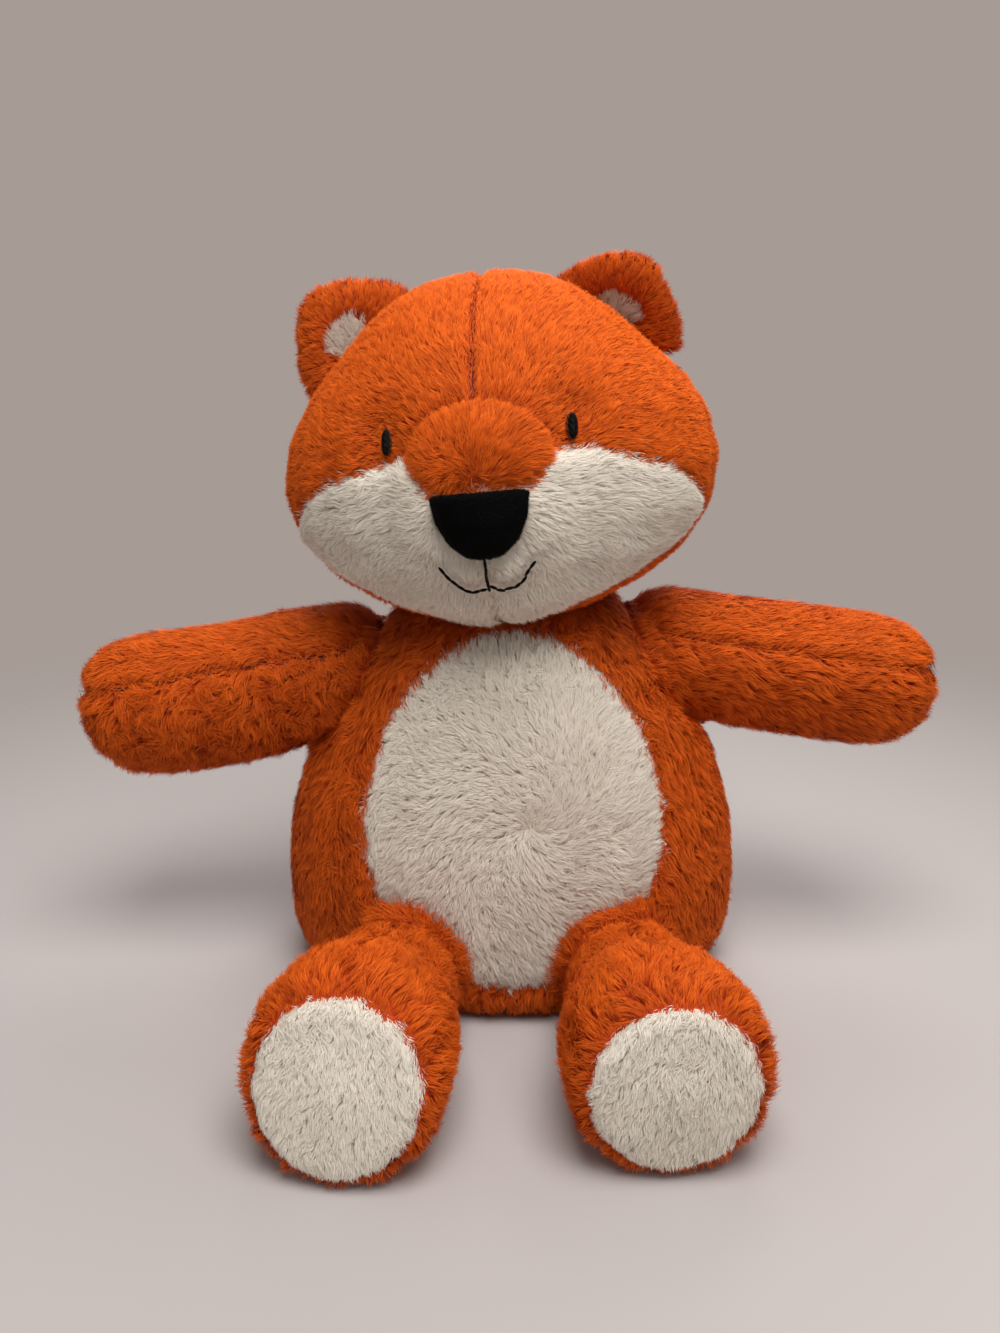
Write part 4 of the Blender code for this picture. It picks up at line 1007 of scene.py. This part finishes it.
class FOX_OT_head(bpy.types.Operator):
    """Head with its crown, muzzle and cheeks"""
    bl_idname = "fox.head"
    bl_label = "Head"

    def execute(self, context):
        def thin(skin):
            nose = nearest(skin.co, ["nose"])[0][:, 0]
            trim = nearest(skin.co, FACE_NODES[1:])[0].min(axis=1)
            covered = np.where(nose < TRIM_GAP, 0.0, 1.0)
            cropped = np.clip((trim - TRIM_GAP) / TRIM_FADE, 0, 1) * (1 - TRIM_LENGTH) + TRIM_LENGTH
            return covered, cropped
        dress("head", context.scene.fox_skin.head_cell, thin)
        return {"FINISHED"}


class FOX_OT_ears(bpy.types.Operator):
    """Two ears with white linings"""
    bl_idname = "fox.ears"
    bl_label = "Ears"

    def execute(self, context):
        for side in SIDES:
            dress("ear_" + side, context.scene.fox_skin.ear_cell)
        return {"FINISHED"}


class FOX_OT_limbs(bpy.types.Operator):
    """Two arms and two legs with white soles"""
    bl_idname = "fox.limbs"
    bl_label = "Arms and legs"

    def execute(self, context):
        for side in SIDES:
            dress("arm_" + side, context.scene.fox_skin.small_cell)
            dress("leg_" + side, context.scene.fox_skin.small_cell)
        return {"FINISHED"}


class FOX_OT_bridges(bpy.types.Operator):
    """Shoulders and hips: the cloth between each limb and the body"""
    bl_idname = "fox.bridges"
    bl_label = "Shoulders and hips"

    def execute(self, context):
        for side in SIDES:
            bridge("arm_" + side)
            bridge("leg_" + side)
        return {"FINISHED"}


class FOX_OT_tail(bpy.types.Operator):
    """Tail with a white tip"""
    bl_idname = "fox.tail"
    bl_label = "Tail"

    def execute(self, context):
        dress("tail", context.scene.fox_skin.small_cell)
        return {"FINISHED"}


# The nose's cell, the lean of its velour's nap, and how that nap differs from the pile
NOSE_CELL, NAP_LEAN = 0.0006, 0.5
NAP = {"Density": 14 * PER_SQUARE_MM, "Width": 0.00016, "Clump Gap": 0.0006, "Clump Pull": 0.0, "Wave": 0.00005}


class FOX_OT_nose(bpy.types.Operator):
    """Padded velour nose"""
    bl_idname = "fox.nose"
    bl_label = "Nose"

    def execute(self, context):
        face = context.scene.fox_face
        mesh = fused("nose_velour", ["nose"], NOSE_CELL, NOSE_ROUNDS)
        mesh.shade_smooth()
        co = points_of(mesh)
        store(mesh, "fullness", np.ones(len(co)))
        store(mesh, "pile", np.full(len(co), face.nose_nap))
        store(mesh, "lean", np.full(len(co), NAP_LEAN))
        store(mesh, "comb", along(0, 0, -1)(co))
        nap = new_object("nose_nap", grown("nose_nap", mesh, material("nap"), NAP))
        strip(mesh)
        mesh.materials.append(material("velour"))
        nose = new_object("nose_velour", mesh)
        for piece in (nose, nap):
            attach(piece, "head")
            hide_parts("nose")
        return {"FINISHED"}


# Each line of the mouth: its node, the axis that it follows, and the slices in which it is read
MOUTH_LINES = (("mouth_center_stitch", 2, 4), ("mouth_left_stitch", 0, 9), ("mouth_right_stitch", 0, 9))
SLICE_OVERLAP = 1e-5
# A stitch's length over its distance from the next
STITCH_OVERLAP = 1.35


def sliced_path(node, axis, count):
    """The middle line of a thin CAD solid, read as the mean of its points in slices along an axis."""
    co = points_of(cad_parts[node].data)
    low, high = co[:, axis].min(), co[:, axis].max()
    edges = np.linspace(low, high, count + 1)
    path = []
    for start, end in zip(edges, edges[1:]):
        chosen = co[(co[:, axis] >= start - SLICE_OVERLAP) & (co[:, axis] <= end + SLICE_OVERLAP)]
        if len(chosen):
            path.append(chosen.mean(axis=0))
    return path


def stitch_tree():
    """The node tree that lays overlapping stitches along a line."""
    tree = bpy.data.node_groups.new("Stitched line", "GeometryNodeTree")
    face = tree.interface
    face.new_socket("Line", in_out="INPUT", socket_type="NodeSocketGeometry")
    face.new_socket("Stitch", in_out="INPUT", socket_type="NodeSocketFloat")
    face.new_socket("Thickness", in_out="INPUT", socket_type="NodeSocketFloat")
    face.new_socket("Finish", in_out="INPUT", socket_type="NodeSocketMaterial")
    face.new_socket("Stitches", in_out="OUTPUT", socket_type="NodeSocketGeometry")
    given = add(tree, "NodeGroupInput").outputs
    curve = out(add(tree, "GeometryNodeMeshToCurve", None, {0: given["Line"]}))
    spaced = add(tree, "GeometryNodeCurveToPoints", {"mode": "LENGTH"}, {"Curve": curve, "Length": given["Stitch"]})
    ball = add(tree, "GeometryNodeMeshUVSphere", None, {"Segments": 10, "Rings": 8, "Radius": 0.5})
    long = out(add(tree, "ShaderNodeMath", {"operation": "MULTIPLY"}, {0: given["Stitch"], 1: STITCH_OVERLAP}))
    scale = out(add(tree, "ShaderNodeCombineXYZ", None, {0: given["Thickness"], 1: given["Thickness"], 2: long}))
    laid = add(tree, "GeometryNodeInstanceOnPoints", None, {
        "Points": out(spaced, "Points"), "Instance": out(ball, "Mesh"), "Rotation": out(spaced, "Rotation"),
        "Scale": scale,
    })
    made = out(add(tree, "GeometryNodeRealizeInstances", None, {0: out(laid)}))
    made = out(add(tree, "GeometryNodeSetShadeSmooth", None, {0: made}))
    made = out(add(tree, "GeometryNodeSetMaterial", None, {"Geometry": made, "Material": given["Finish"]}))
    add(tree, "NodeGroupOutput", None, {0: made})
    return tree


def stitched(name, path, stitch, thickness, finish):
    """A line of stitches along a path, as a plain mesh."""
    mesh = bpy.data.meshes.new(name)
    mesh.from_pydata([tuple(p) for p in path], [(i, i + 1) for i in range(len(path) - 1)], [])
    tree = bpy.data.node_groups.get("Stitched line") or stitch_tree()
    return worked(new_object(name, mesh), name, tree, {"Stitch": stitch, "Thickness": thickness, "Finish": finish})


def head_middle():
    """The middle of the head's stuffing."""
    low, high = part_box("head_stuffing")
    return (np.array(low) + np.array(high)) / 2


def lifted(path, lift):
    """A path moved outwards from the middle of the head."""
    middle = head_middle()
    return [p + unit(p - middle) * lift for p in path]


class FOX_OT_mouth(bpy.types.Operator):
    """Mouth in black back stitch"""
    bl_idname = "fox.mouth"
    bl_label = "Mouth"

    def execute(self, context):
        face = context.scene.fox_face
        for node, axis, count in MOUTH_LINES:
            path = lifted(sliced_path(node, axis, count), face.mouth_lift)
            name = node.replace("stitch", "thread")
            mesh = stitched(name, path, face.mouth_stitch, face.mouth_thread, material("thread"))
            piece = new_object(name, mesh)
            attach(piece, "head")
            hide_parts(node)
        return {"FINISHED"}


# An eye's width over its height, the distance of its rows over the thread's thickness, and the points of a row
EYE_SHAPE, ROW_GAP, ROW_POINTS = 0.44, 0.8, 7
# How far the ends of a row and the top and bottom of the eye sink, as shares of its half width
ROW_SINK, TOP_SINK = 0.9, 0.6
# The brown edge: its height, width and sink over those of the eye, its thread over that of the rows, and its points
EDGE_HEIGHT, EDGE_WIDTH, EDGE_SINK, EDGE_THREAD, EDGE_POINTS = 1.08, 1.12, 0.95, 0.8, 25


class FOX_OT_eyes(bpy.types.Operator):
    """Two eyes in raised satin stitch"""
    bl_idname = "fox.eyes"
    bl_label = "Eyes"

    def execute(self, context):
        face = context.scene.fox_face
        for side in SIDES:
            node = "eye_" + side
            low, high = (np.array(corner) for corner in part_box(node))
            centre = (low + high) / 2
            outward = unit(centre - head_middle())
            across = unit(np.cross(outward, (0, 0, 1.0)))
            upward = np.cross(across, outward)
            half_height = (high[2] - low[2]) / 2
            half_width = half_height * EYE_SHAPE
            centre = centre + outward * face.eye_lift

            def place(sideways, up, sunk):
                """A point of the eye, from its place in half widths, half heights and half widths."""
                return (centre + upward * (half_height * up) + across * (half_width * sideways)
                        - outward * (half_width * sunk))

            rows = []
            count = int(2 * half_height / (face.eye_thread * ROW_GAP))
            for i in range(count):
                level = (i + 0.5) / count * 2 - 1
                wide = math.sqrt(1 - level ** 2)
                rows.append([place(wide * t, level, ROW_SINK * wide * t * t + TOP_SINK * level ** 4)
                             for t in np.linspace(-1, 1, ROW_POINTS)])
            black = tubes("eye_%s_satin" % side, rows, face.eye_thread / 2, material("thread"))
            rim = [place(EDGE_WIDTH * math.cos(a), EDGE_HEIGHT * math.sin(a), EDGE_SINK)
                   for a in np.linspace(0, math.tau, EDGE_POINTS)]
            edge = tubes("eye_%s_edge" % side, [rim], face.eye_thread * EDGE_THREAD, material("edge"))
            for piece in (black, edge):
                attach(piece, "head")
                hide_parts(node)
        return {"FINISHED"}


def tubes(name, rows, radius, finish):
    """Round threads along rows of points, as one mesh piece."""
    curve = bpy.data.curves.new(name, "CURVE")
    curve.dimensions = "3D"
    curve.bevel_depth = radius
    curve.bevel_resolution = 2
    curve.use_fill_caps = True
    for row in rows:
        spline = curve.splines.new("POLY")
        spline.points.add(len(row) - 1)
        for point, place in zip(spline.points, row):
            point.co = (*place, 1)
    mesh = evaluated(new_object(name, curve), name)
    mesh.materials.clear()
    mesh.materials.append(finish)
    mesh.shade_smooth()
    return new_object(name, mesh)


class FOX_OT_pouch(bpy.types.Operator):
    """Finish of the bean pouch inside the seat"""
    bl_idname = "fox.pouch"
    bl_label = "Bean pouch"

    def execute(self, context):
        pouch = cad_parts["seat_bean_pouch"].data
        pouch.materials.clear()
        pouch.materials.append(material("pouch"))
        return {"FINISHED"}


OPERATORS = (
    FOX_OT_stage, FOX_OT_body, FOX_OT_head, FOX_OT_ears, FOX_OT_limbs, FOX_OT_bridges, FOX_OT_tail, FOX_OT_nose,
    FOX_OT_eyes, FOX_OT_mouth, FOX_OT_pouch,
)


class FOX_PT_panel(bpy.types.Panel):
    """Sizes, colours and pieces of the fox"""
    bl_idname = "FOX_PT_panel"
    bl_label = "Plush fox"
    bl_space_type = "VIEW_3D"
    bl_region_type = "UI"
    bl_category = "Plush fox"

    def draw(self, context):
        for operator in OPERATORS:
            self.layout.operator(operator.bl_idname)
        for name in GROUPS:
            group = getattr(context.scene, name)
            box = self.layout.box()
            for key in group.__annotations__:
                box.prop(group, key)


GROUPS = {
    "fox_skin": FoxSkinSizes,
    "fox_pile": FoxPileSizes,
    "fox_colours": FoxColours,
    "fox_face": FoxFaceSizes,
    "fox_stage": FoxStageSizes,
}
CLASSES = (*GROUPS.values(), *OPERATORS, FOX_PT_panel)


def register():
    for cls in CLASSES:
        bpy.utils.register_class(cls)
    for name, group in GROUPS.items():
        setattr(bpy.types.Scene, name, PointerProperty(type=group))


def unregister():
    for name in GROUPS:
        delattr(bpy.types.Scene, name)
    for cls in reversed(CLASSES):
        bpy.utils.unregister_class(cls)


def main():
    register()
    for operator in OPERATORS:
        getattr(bpy.ops.fox, operator.bl_idname.split(".")[1])()


if __name__ == "__main__":
    main()
